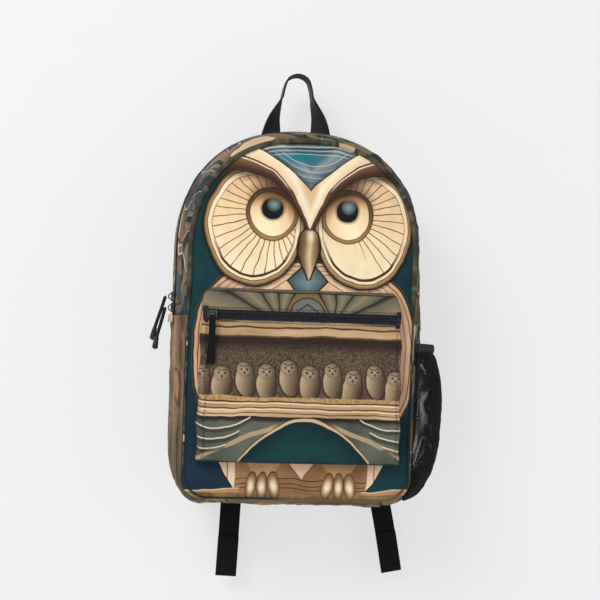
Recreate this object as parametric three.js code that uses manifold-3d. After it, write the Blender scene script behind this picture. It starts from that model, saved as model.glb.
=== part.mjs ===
// School backpack with an arched top, hanging by its grab loop. Millimetres, +Z up.
// X runs across the bag, +Y points from the front pocket to the wearer's back.
// The origin is the inside top of the grab loop, where a peg carries the bag.
import * as THREE from 'three';
import { mergeVertices } from 'three/addons/utils/BufferGeometryUtils.js';
import Module from 'manifold-3d';

const wasm = await Module();
wasm.setup();

// Driving dimensions
const GAP = 0.4;
const CLOTH = 1.5;
const LOOP_RISE = 76;
const BODY_HEIGHT = 437;
const BODY_HALF_WIDTH = 143;
const ARCH_HEIGHT = 144;
const ARCH_POWER = 2.3;
const CORNER_RADIUS = 35;
const RIM_Y = -84;
const FRONT_Y = -126;
const BACK_Y = 12;
const FRONT_HALF_WIDTH = 129;
const FRONT_DROP = 16;
const FRONT_LIFT = 14;
const ZIP_END_Z = -296;
const FOLD_Z = -258;
const ZIP_WIDTH = 18;
const COIL_HALF = 2.5;
const COIL_PROUD = 1.6;
const POCKET_HALF_WIDTH = 114;
const POCKET_TOP_Z = -262;
const POCKET_ZIP_Z = -292;
const POCKET_BASE_Z = -454;
const POCKET_ZIP_Y = -142;
const POCKET_BASE_Y = -156;
const MESH_TOP_Z = -322;
const MESH_BASE_Z = -492;
const MESH_BULGE = 31;
const WEBBING_WIDTH = 25;
const WEBBING_THICK = 1.7;
const STRAP_THICK = 12;
const LOCK_Z = -356;

const TOP_Z = -LOOP_RISE;
const BASE_Z = TOP_Z - BODY_HEIGHT;
const SHOULDER_Z = TOP_Z - ARCH_HEIGHT;
const ZIP_Y = RIM_Y + ZIP_WIDTH / 2;

// Materials
const paint = (color, roughness = 0.85) => new THREE.MeshStandardMaterial({ color, roughness });
const printed = paint(0x1f4a4e);
const olive = paint(0x6b6348);
const black = paint(0x1c1b1c);
const webbing = paint(0x2a2c30);
const zipTape = paint(0x282a34);
const metal = new THREE.MeshStandardMaterial({ color: 0x4a4a4c, roughness: 0.35, metalness: 0.9 });
const plastic = paint(0x141414, 0.45);
const netting = paint(0x2e2e2e);
const lining = paint(0x3c3f44);

const bag = new THREE.Group();

function add(name, geometry, material, parent = bag) {
  const mesh = new THREE.Mesh(geometry, material);
  mesh.name = name;
  parent.add(mesh);
  return mesh;
}

// Outlines of the body in the XZ plane, seen from the front
function arch(inset, endZ) {
  const steps = 26;
  const points = [[-BODY_HALF_WIDTH + inset, endZ]];
  for (let i = 0; i <= steps; i++) {
    const turn = Math.PI * (1 - i / steps);
    const across = Math.sign(Math.cos(turn)) * Math.abs(Math.cos(turn)) ** (2 / ARCH_POWER);
    const rise = Math.abs(Math.sin(turn)) ** (2 / ARCH_POWER);
    points.push([
      across * (BODY_HALF_WIDTH - inset),
      SHOULDER_Z + rise * (ARCH_HEIGHT - inset),
    ]);
  }
  points.push([BODY_HALF_WIDTH - inset, endZ]);
  return points;
}

// The right-hand side below endZ, round the bottom corner
function corner(inset, endZ) {
  const steps = 6;
  const points = [[BODY_HALF_WIDTH - inset, endZ]];
  for (let i = 0; i <= steps; i++) {
    const turn = (-Math.PI / 2) * (i / steps);
    points.push([
      BODY_HALF_WIDTH - CORNER_RADIUS + Math.cos(turn) * (CORNER_RADIUS - inset),
      BASE_Z + CORNER_RADIUS + Math.sin(turn) * (CORNER_RADIUS - inset),
    ]);
  }
  return points;
}

// Both sides and the base, from right to left
function tub(inset, endZ) {
  const right = corner(inset, endZ);
  const left = right.map(([x, z]) => [-x, z]).reverse();
  return [...right, ...left];
}

const shapeOf = (points) => new THREE.Shape(points.map(([a, b]) => new THREE.Vector2(a, b)));

// A flat XZ outline given thickness from back towards the front
function slab(shape, back, depth, steps = 1) {
  const geometry = new THREE.ExtrudeGeometry(shape, { depth, steps, bevelEnabled: false });
  return geometry.rotateX(Math.PI / 2).translate(0, back, 0);
}

// A YZ outline carried across the bag
function crossbar(points, startX, length) {
  const geometry = new THREE.ExtrudeGeometry(shapeOf(points), { depth: length, bevelEnabled: false });
  const turn = new THREE.Matrix4().makeBasis(
    new THREE.Vector3(0, 1, 0),
    new THREE.Vector3(0, 0, 1),
    new THREE.Vector3(1, 0, 0),
  );
  return geometry.applyMatrix4(turn).translate(startX, 0, 0);
}

// Moves each vertex of a geometry
function reshape(geometry, move) {
  const place = geometry.attributes.position;
  const point = new THREE.Vector3();
  for (let i = 0; i < place.count; i++) {
    point.fromBufferAttribute(place, i);
    move(point);
    place.setXYZ(i, point.x, point.y, point.z);
  }
  geometry.computeVertexNormals();
  return geometry;
}

// The body narrows from the zip's rim to the front panel
function rimShare(y) {
  return THREE.MathUtils.clamp((RIM_Y - y) / (RIM_Y - FRONT_Y), 0, 1);
}

function narrow(point) {
  const share = rimShare(point.y);
  const up = point.z > FOLD_Z;
  const reach = up ? TOP_Z - FOLD_Z : FOLD_Z - BASE_Z;
  const loss = up ? FRONT_DROP : FRONT_LIFT;
  point.x *= 1 - share * (1 - FRONT_HALF_WIDTH / BODY_HALF_WIDTH);
  point.z = FOLD_Z + (point.z - FOLD_Z) * (1 - (share * loss) / reach);
}

const band = (outer, inner) => shapeOf([...outer, ...inner.slice().reverse()]);

function archBand(inset, thick, endZ, back, depth, steps = 1) {
  const shape = band(arch(inset, endZ), arch(inset + thick, endZ));
  return reshape(slab(shape, back, depth, steps), narrow);
}

// A round cord of cloth sewn along an outline
function piping(points, y, radius) {
  const line = points.map(([x, z]) => narrowed(x, y, z));
  const path = new THREE.CatmullRomCurve3(line, false, 'centripetal');
  const ring = new THREE.Shape().absarc(0, 0, radius, 0, 2 * Math.PI);
  return new THREE.ExtrudeGeometry(ring, { steps: 44, curveSegments: 3, extrudePath: path });
}

function narrowed(x, y, z) {
  const point = new THREE.Vector3(x, y, z);
  narrow(point);
  return point;
}

function solid(geometry) {
  const bare = geometry.clone();
  bare.deleteAttribute('normal');
  bare.deleteAttribute('uv');
  const welded = mergeVertices(bare, 1e-3);
  return new wasm.Manifold(new wasm.Mesh({
    numProp: 3,
    vertProperties: new Float32Array(welded.attributes.position.array),
    triVerts: new Uint32Array(welded.index.array),
  }));
}

function geometryOf(manifold) {
  const mesh = manifold.getMesh();
  const geometry = new THREE.BufferGeometry();
  geometry.setAttribute('position', new THREE.BufferAttribute(mesh.vertProperties, 3));
  geometry.setIndex(new THREE.BufferAttribute(mesh.triVerts, 1));
  geometry.computeVertexNormals();
  return geometry;
}

// Back panel: outer cloth, foam and lining
const BACK_INSET = 8;
const FOAM_THICK = 7.6;
const LINING_THICK = 1.2;
const backShape = () => shapeOf([...arch(BACK_INSET, SHOULDER_Z).slice(1, -1), ...tub(BACK_INSET, SHOULDER_Z)]);
add('back_panel', slab(backShape(), BACK_Y, CLOTH), black);
add('back_foam', slab(backShape(), BACK_Y - CLOTH - GAP, FOAM_THICK), lining);
const liningY = BACK_Y - CLOTH - FOAM_THICK - 2 * GAP;
add('back_lining', slab(backShape(), liningY, LINING_THICK), lining);
const BINDING_RADIUS = 3;
add('back_binding_top', piping(arch(BINDING_RADIUS + 0.5, FOLD_Z), 5, BINDING_RADIUS), black);
add('back_binding_bottom', piping(tub(BINDING_RADIUS + 0.5, FOLD_Z - GAP), 5, BINDING_RADIUS), black);

// Gussets between the back and the zip, and below the zip's ends
const REAR_ZIP_Y = RIM_Y + ZIP_WIDTH;
add('rear_gusset', archBand(0, CLOTH, ZIP_END_Z + GAP, 0, -REAR_ZIP_Y - GAP), printed);
for (const [side, sign] of [['left', -1], ['right', 1]]) {
  const strip = band(corner(0, ZIP_END_Z), corner(CLOTH, ZIP_END_Z));
  const lower = reshape(slab(strip, 0, -FRONT_Y, 3), narrow);
  if (sign < 0) {
    mirrorX(lower);
  }
  add(`side_gusset_${side}`, lower, olive);
}

function mirrorX(geometry) {
  reshape(geometry, (point) => {
    point.x = -point.x;
  });
  const place = geometry.attributes.position;
  for (let i = 0; i < place.count; i += 3) {
    const a = new THREE.Vector3().fromBufferAttribute(place, i + 1);
    const b = new THREE.Vector3().fromBufferAttribute(place, i + 2);
    place.setXYZ(i + 1, b.x, b.y, b.z);
    place.setXYZ(i + 2, a.x, a.y, a.z);
  }
  return geometry;
}

const BASE_HALF = BODY_HALF_WIDTH - CORNER_RADIUS - GAP;
const basePlate = shapeOf([
  [-BASE_HALF, BASE_Z],
  [BASE_HALF, BASE_Z],
  [BASE_HALF, BASE_Z + CLOTH],
  [-BASE_HALF, BASE_Z + CLOTH],
]);
add('bottom_panel', slab(basePlate, 0, -RIM_Y), olive);
add('bottom_front_strip', reshape(slab(basePlate, RIM_Y - GAP, RIM_Y - FRONT_Y - GAP), narrow), olive);

// Main zip: two tapes and two rows of coil over the arch, straight down to both ends
const TAPE = 0.9;
const tapeWidth = ZIP_WIDTH / 2 - GAP / 2;
add('main_zip_rear_tape', archBand(0, TAPE, ZIP_END_Z + GAP, REAR_ZIP_Y, tapeWidth), zipTape);
add('main_zip_front_tape', archBand(0, TAPE, FOLD_Z, ZIP_Y - GAP / 2, tapeWidth - GAP), zipTape);
const coilWidth = COIL_HALF - GAP / 2;
add('main_zip_rear_coil', archBand(-COIL_PROUD - GAP, COIL_PROUD, ZIP_END_Z + GAP, ZIP_Y + COIL_HALF, coilWidth), zipTape);
add('main_zip_front_coil', archBand(-COIL_PROUD - GAP, COIL_PROUD, FOLD_Z, ZIP_Y - GAP / 2, coilWidth), zipTape);

// The front gusset strip folds at FOLD_Z; its feet below stay with the bag
const FRONT_STRIP = RIM_Y - FRONT_Y - GAP;
add('front_gusset_top', archBand(0, CLOTH, FOLD_Z, RIM_Y - GAP, FRONT_STRIP), printed);
for (const [side, sign] of [['left', -1], ['right', 1]]) {
  const outer = sign * BODY_HALF_WIDTH;
  const plate = (thick) => shapeOf([
    [Math.min(outer, outer - sign * thick), ZIP_END_Z + GAP],
    [Math.max(outer, outer - sign * thick), ZIP_END_Z + GAP],
    [Math.max(outer, outer - sign * thick), FOLD_Z - GAP],
    [Math.min(outer, outer - sign * thick), FOLD_Z - GAP],
  ]);
  add(`front_gusset_foot_${side}`, reshape(slab(plate(CLOTH), RIM_Y - GAP, FRONT_STRIP), narrow), printed);
  add(`main_zip_foot_${side}`, slab(plate(TAPE), ZIP_Y - GAP / 2, tapeWidth - GAP), zipTape);
  const patch = new THREE.BoxGeometry(1.2, ZIP_WIDTH + 8, 9);
  patch.translate(outer + sign * (0.6 + GAP), ZIP_Y + 4, ZIP_END_Z - 5);
  add(`main_zip_end_patch_${side}`, patch, black);
}

// Front panel, in two parts that meet at the fold, with its rolled piping
const PANEL_INSET = 9;
const PANEL_Y = FRONT_Y - 2.6;
const upperPanel = shapeOf(arch(PANEL_INSET, FOLD_Z));
add('front_panel_top', reshape(slab(upperPanel, PANEL_Y, CLOTH), narrow), printed);
const lowerPanel = shapeOf(tub(PANEL_INSET, FOLD_Z - GAP));
add('front_panel_bottom', reshape(slab(lowerPanel, PANEL_Y, CLOTH), narrow), printed);
const PIPING_RADIUS = 3.2;
const PIPING_Y = FRONT_Y - GAP - PIPING_RADIUS;
add('front_piping_top', piping(arch(PIPING_RADIUS + 0.3, FOLD_Z), PIPING_Y, PIPING_RADIUS), olive);
add('front_piping_bottom', piping(tub(PIPING_RADIUS + 0.3, FOLD_Z - GAP), PIPING_Y, PIPING_RADIUS), olive);

// Front pocket: sloping top, zip band, front, two sides and a base
const SEAT_Y = PANEL_Y - CLOTH - GAP;
const HALF_ZIP = 8;
const pocketFrontTop = POCKET_ZIP_Z - HALF_ZIP - GAP;
const pocketTopEnd = POCKET_ZIP_Z + HALF_ZIP + GAP;
const innerZipY = POCKET_ZIP_Y + TAPE;
add('pocket_top_panel', crossbar([
  [SEAT_Y, POCKET_TOP_Z],
  [SEAT_Y, POCKET_TOP_Z - 2],
  [innerZipY, pocketTopEnd],
  [POCKET_ZIP_Y - 0.6, pocketTopEnd],
  [SEAT_Y - 1.5, POCKET_TOP_Z],
].reverse(), -POCKET_HALF_WIDTH + CLOTH + GAP, 2 * (POCKET_HALF_WIDTH - CLOTH - GAP)), printed);
const zipLength = 2 * (POCKET_HALF_WIDTH - CLOTH - GAP);
function zipStrip(name, low, high, front, thick, length, material) {
  const piece = new THREE.BoxGeometry(length, thick, high - low);
  piece.translate(0, front + thick / 2, (low + high) / 2);
  add(name, piece, material);
}
zipStrip('pocket_zip_upper_tape', POCKET_ZIP_Z + GAP / 2, POCKET_ZIP_Z + HALF_ZIP, POCKET_ZIP_Y, TAPE, zipLength, zipTape);
zipStrip('pocket_zip_lower_tape', POCKET_ZIP_Z - HALF_ZIP, POCKET_ZIP_Z - GAP / 2, POCKET_ZIP_Y, TAPE, zipLength, zipTape);
const coilFront = POCKET_ZIP_Y - GAP - COIL_PROUD;
const PATCH_LONG = 5;
const coilLength = 2 * (POCKET_HALF_WIDTH - PATCH_LONG);
zipStrip('pocket_zip_upper_coil', POCKET_ZIP_Z + GAP / 2, POCKET_ZIP_Z + COIL_HALF, coilFront, COIL_PROUD, coilLength, zipTape);
zipStrip('pocket_zip_lower_coil', POCKET_ZIP_Z - COIL_HALF, POCKET_ZIP_Z - GAP / 2, coilFront, COIL_PROUD, coilLength, zipTape);
for (const [side, sign] of [['left', -1], ['right', 1]]) {
  const patch = new THREE.BoxGeometry(PATCH_LONG - 1, 1.2, 2 * HALF_ZIP);
  const middle = sign * (POCKET_HALF_WIDTH - PATCH_LONG / 2 + 0.5);
  patch.translate(middle, POCKET_ZIP_Y - GAP - 0.6, POCKET_ZIP_Z);
  add(`pocket_zip_end_patch_${side}`, patch, printed);
}
add('pocket_front', crossbar([
  [innerZipY, pocketFrontTop],
  [POCKET_BASE_Y + CLOTH, POCKET_BASE_Z + CLOTH + GAP],
  [POCKET_BASE_Y, POCKET_BASE_Z + CLOTH + GAP],
  [POCKET_ZIP_Y - 0.6, pocketFrontTop],
].reverse(), -POCKET_HALF_WIDTH + CLOTH + GAP, zipLength), printed);
const pocketSide = [
  [SEAT_Y, POCKET_TOP_Z],
  [SEAT_Y, POCKET_BASE_Z + CLOTH + GAP],
  [POCKET_BASE_Y, POCKET_BASE_Z + CLOTH + GAP],
  [POCKET_ZIP_Y, pocketFrontTop],
  [POCKET_ZIP_Y, pocketTopEnd],
];
add('pocket_side_left', crossbar(pocketSide, -POCKET_HALF_WIDTH, CLOTH), printed);
add('pocket_side_right', crossbar(pocketSide, POCKET_HALF_WIDTH - CLOTH, CLOTH), printed);
add('pocket_base', crossbar([
  [SEAT_Y, POCKET_BASE_Z],
  [POCKET_BASE_Y, POCKET_BASE_Z],
  [POCKET_BASE_Y, POCKET_BASE_Z + CLOTH],
  [SEAT_Y, POCKET_BASE_Z + CLOTH],
].reverse(), -POCKET_HALF_WIDTH, 2 * POCKET_HALF_WIDTH), printed);

// Zip sliders: a plate with two flanges round the coil and a bail for the puller.
// In a slider's own frame it runs along X and its face looks along +Z; Z is 0 at the coil's face.
const SLIDER_LONG = 11;
function sliderGeometry() {
  const half = COIL_HALF + 1.8;
  const inner = COIL_HALF + GAP;
  const section = shapeOf([
    [-half, -COIL_PROUD],
    [-inner, -COIL_PROUD],
    [-inner, GAP],
    [inner, GAP],
    [inner, -COIL_PROUD],
    [half, -COIL_PROUD],
    [half, 2],
    [-half, 2],
  ]);
  const shell = new THREE.ExtrudeGeometry(section, { depth: SLIDER_LONG, bevelEnabled: false });
  shell.applyMatrix4(new THREE.Matrix4().makeBasis(
    new THREE.Vector3(0, 1, 0),
    new THREE.Vector3(0, 0, 1),
    new THREE.Vector3(1, 0, 0),
  )).translate(-SLIDER_LONG / 2, 0, 0);
  const loop = shapeOf([
    ...arcPoints(4, 8),
    ...arcPoints(2.6, 8).reverse(),
  ]);
  const handle = new THREE.ExtrudeGeometry(loop, { depth: 2.4, bevelEnabled: false });
  handle.rotateX(Math.PI / 2).translate(0, 1.2, 1.5);
  return geometryOf(solid(shell).add(solid(handle)));
}

function arcPoints(radius, steps) {
  return Array.from({ length: steps + 1 }, (_, i) => [
    radius * Math.cos((Math.PI * i) / steps),
    radius * Math.sin((Math.PI * i) / steps),
  ]);
}

// Main sliders stand head to head at the left end of the zip
const mainFaceX = -BODY_HALF_WIDTH - GAP - COIL_PROUD;
const SLIDER_PITCH = 13;
const sliderLowZ = ZIP_END_Z + 9;
const mainRun = new THREE.Matrix4().makeBasis(
  new THREE.Vector3(0, 0, 1),
  new THREE.Vector3(0, 1, 0),
  new THREE.Vector3(-1, 0, 0),
);
const rope = new THREE.Shape().absarc(0, 0, 1.5, 0, 2 * Math.PI);
for (const [place, z, reach, fall] of [
  ['lower', sliderLowZ, 11, 49],
  ['upper', sliderLowZ + SLIDER_PITCH, 14, 52],
]) {
  const slider = sliderGeometry().applyMatrix4(mainRun).translate(mainFaceX, ZIP_Y, z);
  add(`main_slider_${place}`, slider, metal);
  const startX = mainFaceX - 8;
  const side = place === 'upper' ? 1 : -1;
  const cord = new THREE.CatmullRomCurve3([
    new THREE.Vector3(startX, ZIP_Y + side * 2.5, z + 1),
    new THREE.Vector3(startX - reach * 0.35, ZIP_Y + side * 3.5, z - fall * 0.3),
    new THREE.Vector3(startX - reach * 0.8, ZIP_Y + side * 5, z - fall * 0.7),
    new THREE.Vector3(startX - reach, ZIP_Y + side * 6, z - fall),
  ]);
  add(`main_puller_${place}`, new THREE.ExtrudeGeometry(rope, {
    steps: 8, curveSegments: 2, extrudePath: cord,
  }), black);
}

// Pocket slider at the left end of its zip, with a tape puller
const POCKET_SLIDER_X = -POCKET_HALF_WIDTH + PATCH_LONG + 7;
const pocketRun = new THREE.Matrix4().makeBasis(
  new THREE.Vector3(1, 0, 0),
  new THREE.Vector3(0, 0, 1),
  new THREE.Vector3(0, -1, 0),
);
add(
  'pocket_slider',
  sliderGeometry().applyMatrix4(pocketRun).translate(POCKET_SLIDER_X, coilFront, POCKET_ZIP_Z),
  metal,
);
const PULLER_LONG = 55;
const pullTape = new THREE.BoxGeometry(9, 2.2, PULLER_LONG, 1, 1, 4);
pullTape.translate(POCKET_SLIDER_X, coilFront - 7.2, POCKET_ZIP_Z - PULLER_LONG / 2 - 1);
reshape(pullTape, (point) => {
  const drop = (POCKET_ZIP_Z - 1 - point.z) / PULLER_LONG;
  point.y -= 3 * drop;
});
add('pocket_puller', pullTape, black);

// Net pocket on the right side, closed at the base, with an elastic top edge
function sideX(y, z) {
  const below = Math.max(0, BASE_Z + CORNER_RADIUS - z);
  const edge = BODY_HALF_WIDTH - CORNER_RADIUS + Math.sqrt(CORNER_RADIUS ** 2 - below ** 2);
  return edge * (1 - rimShare(y) * (1 - FRONT_HALF_WIDTH / BODY_HALF_WIDTH));
}

const NET_FRONT_Y = FRONT_Y + 6;
const NET_BACK_Y = -4;
function netBulge(y, z) {
  const along = (y - NET_FRONT_Y) / (NET_BACK_Y - NET_FRONT_Y);
  const down = THREE.MathUtils.clamp((MESH_TOP_Z - z) / (MESH_TOP_Z - MESH_BASE_Z), 0, 1);
  const fullness = 0.3 + 0.7 * Math.sin(Math.PI * Math.min(1, down * 0.98)) ** 0.8;
  const closing = down > 0.6 ? Math.cos(((down - 0.6) / 0.4) * (Math.PI / 2)) : 1;
  return MESH_BULGE * Math.sin(Math.PI * along) ** 0.7 * Math.min(fullness, 0.02 + closing);
}

function netSheet(top, base, thick, rows) {
  const depth = NET_BACK_Y - NET_FRONT_Y;
  const sheet = new THREE.BoxGeometry(thick, depth, top - base, 1, 12, rows);
  sheet.translate(thick / 2, NET_FRONT_Y + depth / 2, (top + base) / 2);
  return reshape(sheet, (point) => {
    point.x += sideX(point.y, point.z) + 2.2 + netBulge(point.y, point.z);
  });
}
const BINDING_HIGH = 10;
add('mesh_pocket', netSheet(MESH_TOP_Z - BINDING_HIGH - GAP, MESH_BASE_Z, 1.2, 9), netting);
add('mesh_pocket_elastic', netSheet(MESH_TOP_Z, MESH_TOP_Z - BINDING_HIGH, 2, 1), netting);

// Flat webbing laid along a line, its width turning from one direction to another
function ribbon(line, widths, width, thick, steps) {
  const path = new THREE.CatmullRomCurve3(line, false, 'centripetal');
  const strip = new THREE.BoxGeometry(width, thick, 1, 1, 1, steps);
  return reshape(strip, (point) => {
    const share = point.z + 0.5;
    const centre = path.getPointAt(share);
    const along = path.getTangentAt(share);
    const across = widths(share).clone();
    across.addScaledVector(along, -across.dot(along)).normalize();
    const out = new THREE.Vector3().crossVectors(along, across);
    const [u, v] = [point.x, point.y];
    point.copy(centre).addScaledVector(across, u).addScaledVector(out, v);
  });
}

// Grab loop: flat across the bag where it is sewn, turned a quarter to lie over a peg
const LEG_X = 30;
const LOOP_THICK = 2.4;
const PEG_RADIUS = 15;
const LEG_BASE_Z = TOP_Z + 4;
const crown = PEG_RADIUS + LOOP_THICK / 2;
const loopLine = [
  new THREE.Vector3(-LEG_X, 0, LEG_BASE_Z),
  new THREE.Vector3(-LEG_X + 3, 0, LEG_BASE_Z + 16),
  new THREE.Vector3(-crown - 3, 0, -PEG_RADIUS - 14),
  new THREE.Vector3(-crown, 0, -PEG_RADIUS),
  new THREE.Vector3(-crown * Math.SQRT1_2, 0, -PEG_RADIUS + crown * Math.SQRT1_2),
  new THREE.Vector3(0, 0, LOOP_THICK / 2),
  new THREE.Vector3(crown * Math.SQRT1_2, 0, -PEG_RADIUS + crown * Math.SQRT1_2),
  new THREE.Vector3(crown, 0, -PEG_RADIUS),
  new THREE.Vector3(crown + 3, 0, -PEG_RADIUS - 14),
  new THREE.Vector3(LEG_X - 3, 0, LEG_BASE_Z + 16),
  new THREE.Vector3(LEG_X, 0, LEG_BASE_Z),
];
function loopWidth(share) {
  const fromEnd = Math.min(share, 1 - share) / 0.3;
  const turn = (THREE.MathUtils.clamp(fromEnd, 0, 1) * Math.PI) / 2;
  const side = share < 0.5 ? 1 : -1;
  return new THREE.Vector3(side * Math.cos(turn), Math.sin(turn), 0);
}
add('grab_loop', ribbon(loopLine, loopWidth, WEBBING_WIDTH, LOOP_THICK, 32), webbing);

// Shoulder straps behind the back panel, each with webbing, a ladder lock and a loose tail
const YOKE_Y = BACK_Y + GAP + 2;
const yoke = shapeOf([[-66, -105], [66, -105], [66, -100], [40, -90], [0, -86], [-40, -90], [-66, -100]]);
add('strap_yoke', slab(yoke, YOKE_Y, 2), black);
const STRAP_BACK = BACK_Y + 3 + STRAP_THICK;

function strapPad(sign) {
  const edge = (points) => points.map(([x, z]) => new THREE.Vector2(sign * x, z));
  const outer = new THREE.SplineCurve(edge([[66, -100], [88, -150], [101, -210], [98, -270], [86, -338]]));
  const inner = new THREE.SplineCurve(edge([[46, -338], [42, -270], [38, -210], [26, -150], [8, -100]]));
  const shape = new THREE.Shape([...outer.getPoints(12), ...inner.getPoints(12)]);
  return slab(shape, STRAP_BACK, STRAP_THICK);
}

// A moulded frame with a middle bar between two slots
function ladderLock(x) {
  const body = new THREE.BoxGeometry(34, 4.5, 32);
  let lock = solid(body);
  for (const z of [-6.5, 6.5]) {
    lock = lock.subtract(solid(new THREE.BoxGeometry(26.6, 6, 6.5).translate(0, 0, z)));
  }
  return geometryOf(lock).translate(x, STRAP_BACK - 4, LOCK_Z);
}

const acrossX = () => new THREE.Vector3(1, 0, 0);
const WEB_X = 66;
const WEB_TOP_Z = -180;
const WEB_LONG = 158;
const tails = {
  left: [[-WEB_X, 31, -345], [-64, 31, -400], [-61, 28, -470], [-63, 22, -540], [-66, 20, -616]],
  right: [[WEB_X, 31, -345], [84, 32, -400], [112, 30, -470], [128, 22, -540], [141, 20, -608]],
};
for (const [side, sign] of [['left', -1], ['right', 1]]) {
  add(`strap_pad_${side}`, strapPad(sign), black);
  const x = sign * WEB_X;
  const upper = new THREE.BoxGeometry(WEBBING_WIDTH, WEBBING_THICK, WEB_LONG);
  upper.translate(x, STRAP_BACK + GAP + WEBBING_THICK / 2, WEB_TOP_Z - WEB_LONG / 2);
  add(`strap_webbing_${side}`, upper, webbing);
  add(`ladder_lock_${side}`, ladderLock(x), plastic);
  const lower = ribbon(
    [
      new THREE.Vector3(x, STRAP_BACK - 5, LOCK_Z - 23),
      new THREE.Vector3(sign * 84, STRAP_BACK - 7, -410),
      new THREE.Vector3(sign * 106, BACK_Y + 5, -462),
    ],
    () => new THREE.Vector3(1, 0, sign * 0.4),
    WEBBING_WIDTH, WEBBING_THICK, 8,
  );
  add(`lower_webbing_${side}`, lower, webbing);
  const tab = shapeOf([
    [sign * 94, -470],
    [sign * 122, -458],
    [sign * 134, -484],
    [sign * 112, -496],
  ]);
  add(`anchor_tab_${side}`, tabGeometry(tab), black);
  const line = tails[side].map(([a, b, c]) => new THREE.Vector3(a, b, c));
  add(`webbing_tail_${side}`, ribbon(line, acrossX, WEBBING_WIDTH, WEBBING_THICK, 14), webbing);
}

function tabGeometry(shape) {
  return slab(shape, BACK_Y + GAP + 3, 3);
}

export default bag;
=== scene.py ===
"""School backpack with an arched top, an all-over owl print and a net side pocket, hung by its grab loop."""

import math

import bpy
import numpy as np
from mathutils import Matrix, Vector, noise


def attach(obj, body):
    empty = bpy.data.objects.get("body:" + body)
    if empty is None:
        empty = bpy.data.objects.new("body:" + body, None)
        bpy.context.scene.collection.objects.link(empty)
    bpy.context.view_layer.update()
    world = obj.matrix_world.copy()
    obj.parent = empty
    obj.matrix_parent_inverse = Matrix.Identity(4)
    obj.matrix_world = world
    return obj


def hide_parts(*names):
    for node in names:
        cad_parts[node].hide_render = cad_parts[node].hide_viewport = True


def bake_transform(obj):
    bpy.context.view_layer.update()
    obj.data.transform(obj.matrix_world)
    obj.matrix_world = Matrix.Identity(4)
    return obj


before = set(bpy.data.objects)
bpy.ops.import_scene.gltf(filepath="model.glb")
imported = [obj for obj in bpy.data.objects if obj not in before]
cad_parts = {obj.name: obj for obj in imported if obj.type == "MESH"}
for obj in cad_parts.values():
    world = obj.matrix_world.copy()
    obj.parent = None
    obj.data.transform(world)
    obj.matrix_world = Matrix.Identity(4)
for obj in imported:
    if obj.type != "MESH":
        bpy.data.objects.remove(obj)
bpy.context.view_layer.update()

# ------------------------------------------------------------------ camera
# The bag is seen level with its middle, a little from its left side, and hangs two degrees askew.
MIDDLE = Vector((-0.0023, -0.128, -0.273))
DISTANCE = 1.6
SIDE_TURN = math.radians(-6.5)
TILT = math.radians(2.0)
SEEN_WIDTH = 0.681
away = Vector((math.sin(SIDE_TURN), -math.cos(SIDE_TURN), 0))
lens = bpy.data.cameras.new("camera")
lens.sensor_width = 36
lens.lens = lens.sensor_width * DISTANCE / SEEN_WIDTH
camera = bpy.data.objects.new("camera", lens)
bpy.context.scene.collection.objects.link(camera)
camera.location = MIDDLE + away * DISTANCE
camera.rotation_euler = (math.pi / 2, 0, SIDE_TURN)
camera.rotation_euler.rotate_axis("Z", TILT)
bpy.context.scene.camera = camera
bpy.context.scene.view_settings.view_transform = "Standard"


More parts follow.
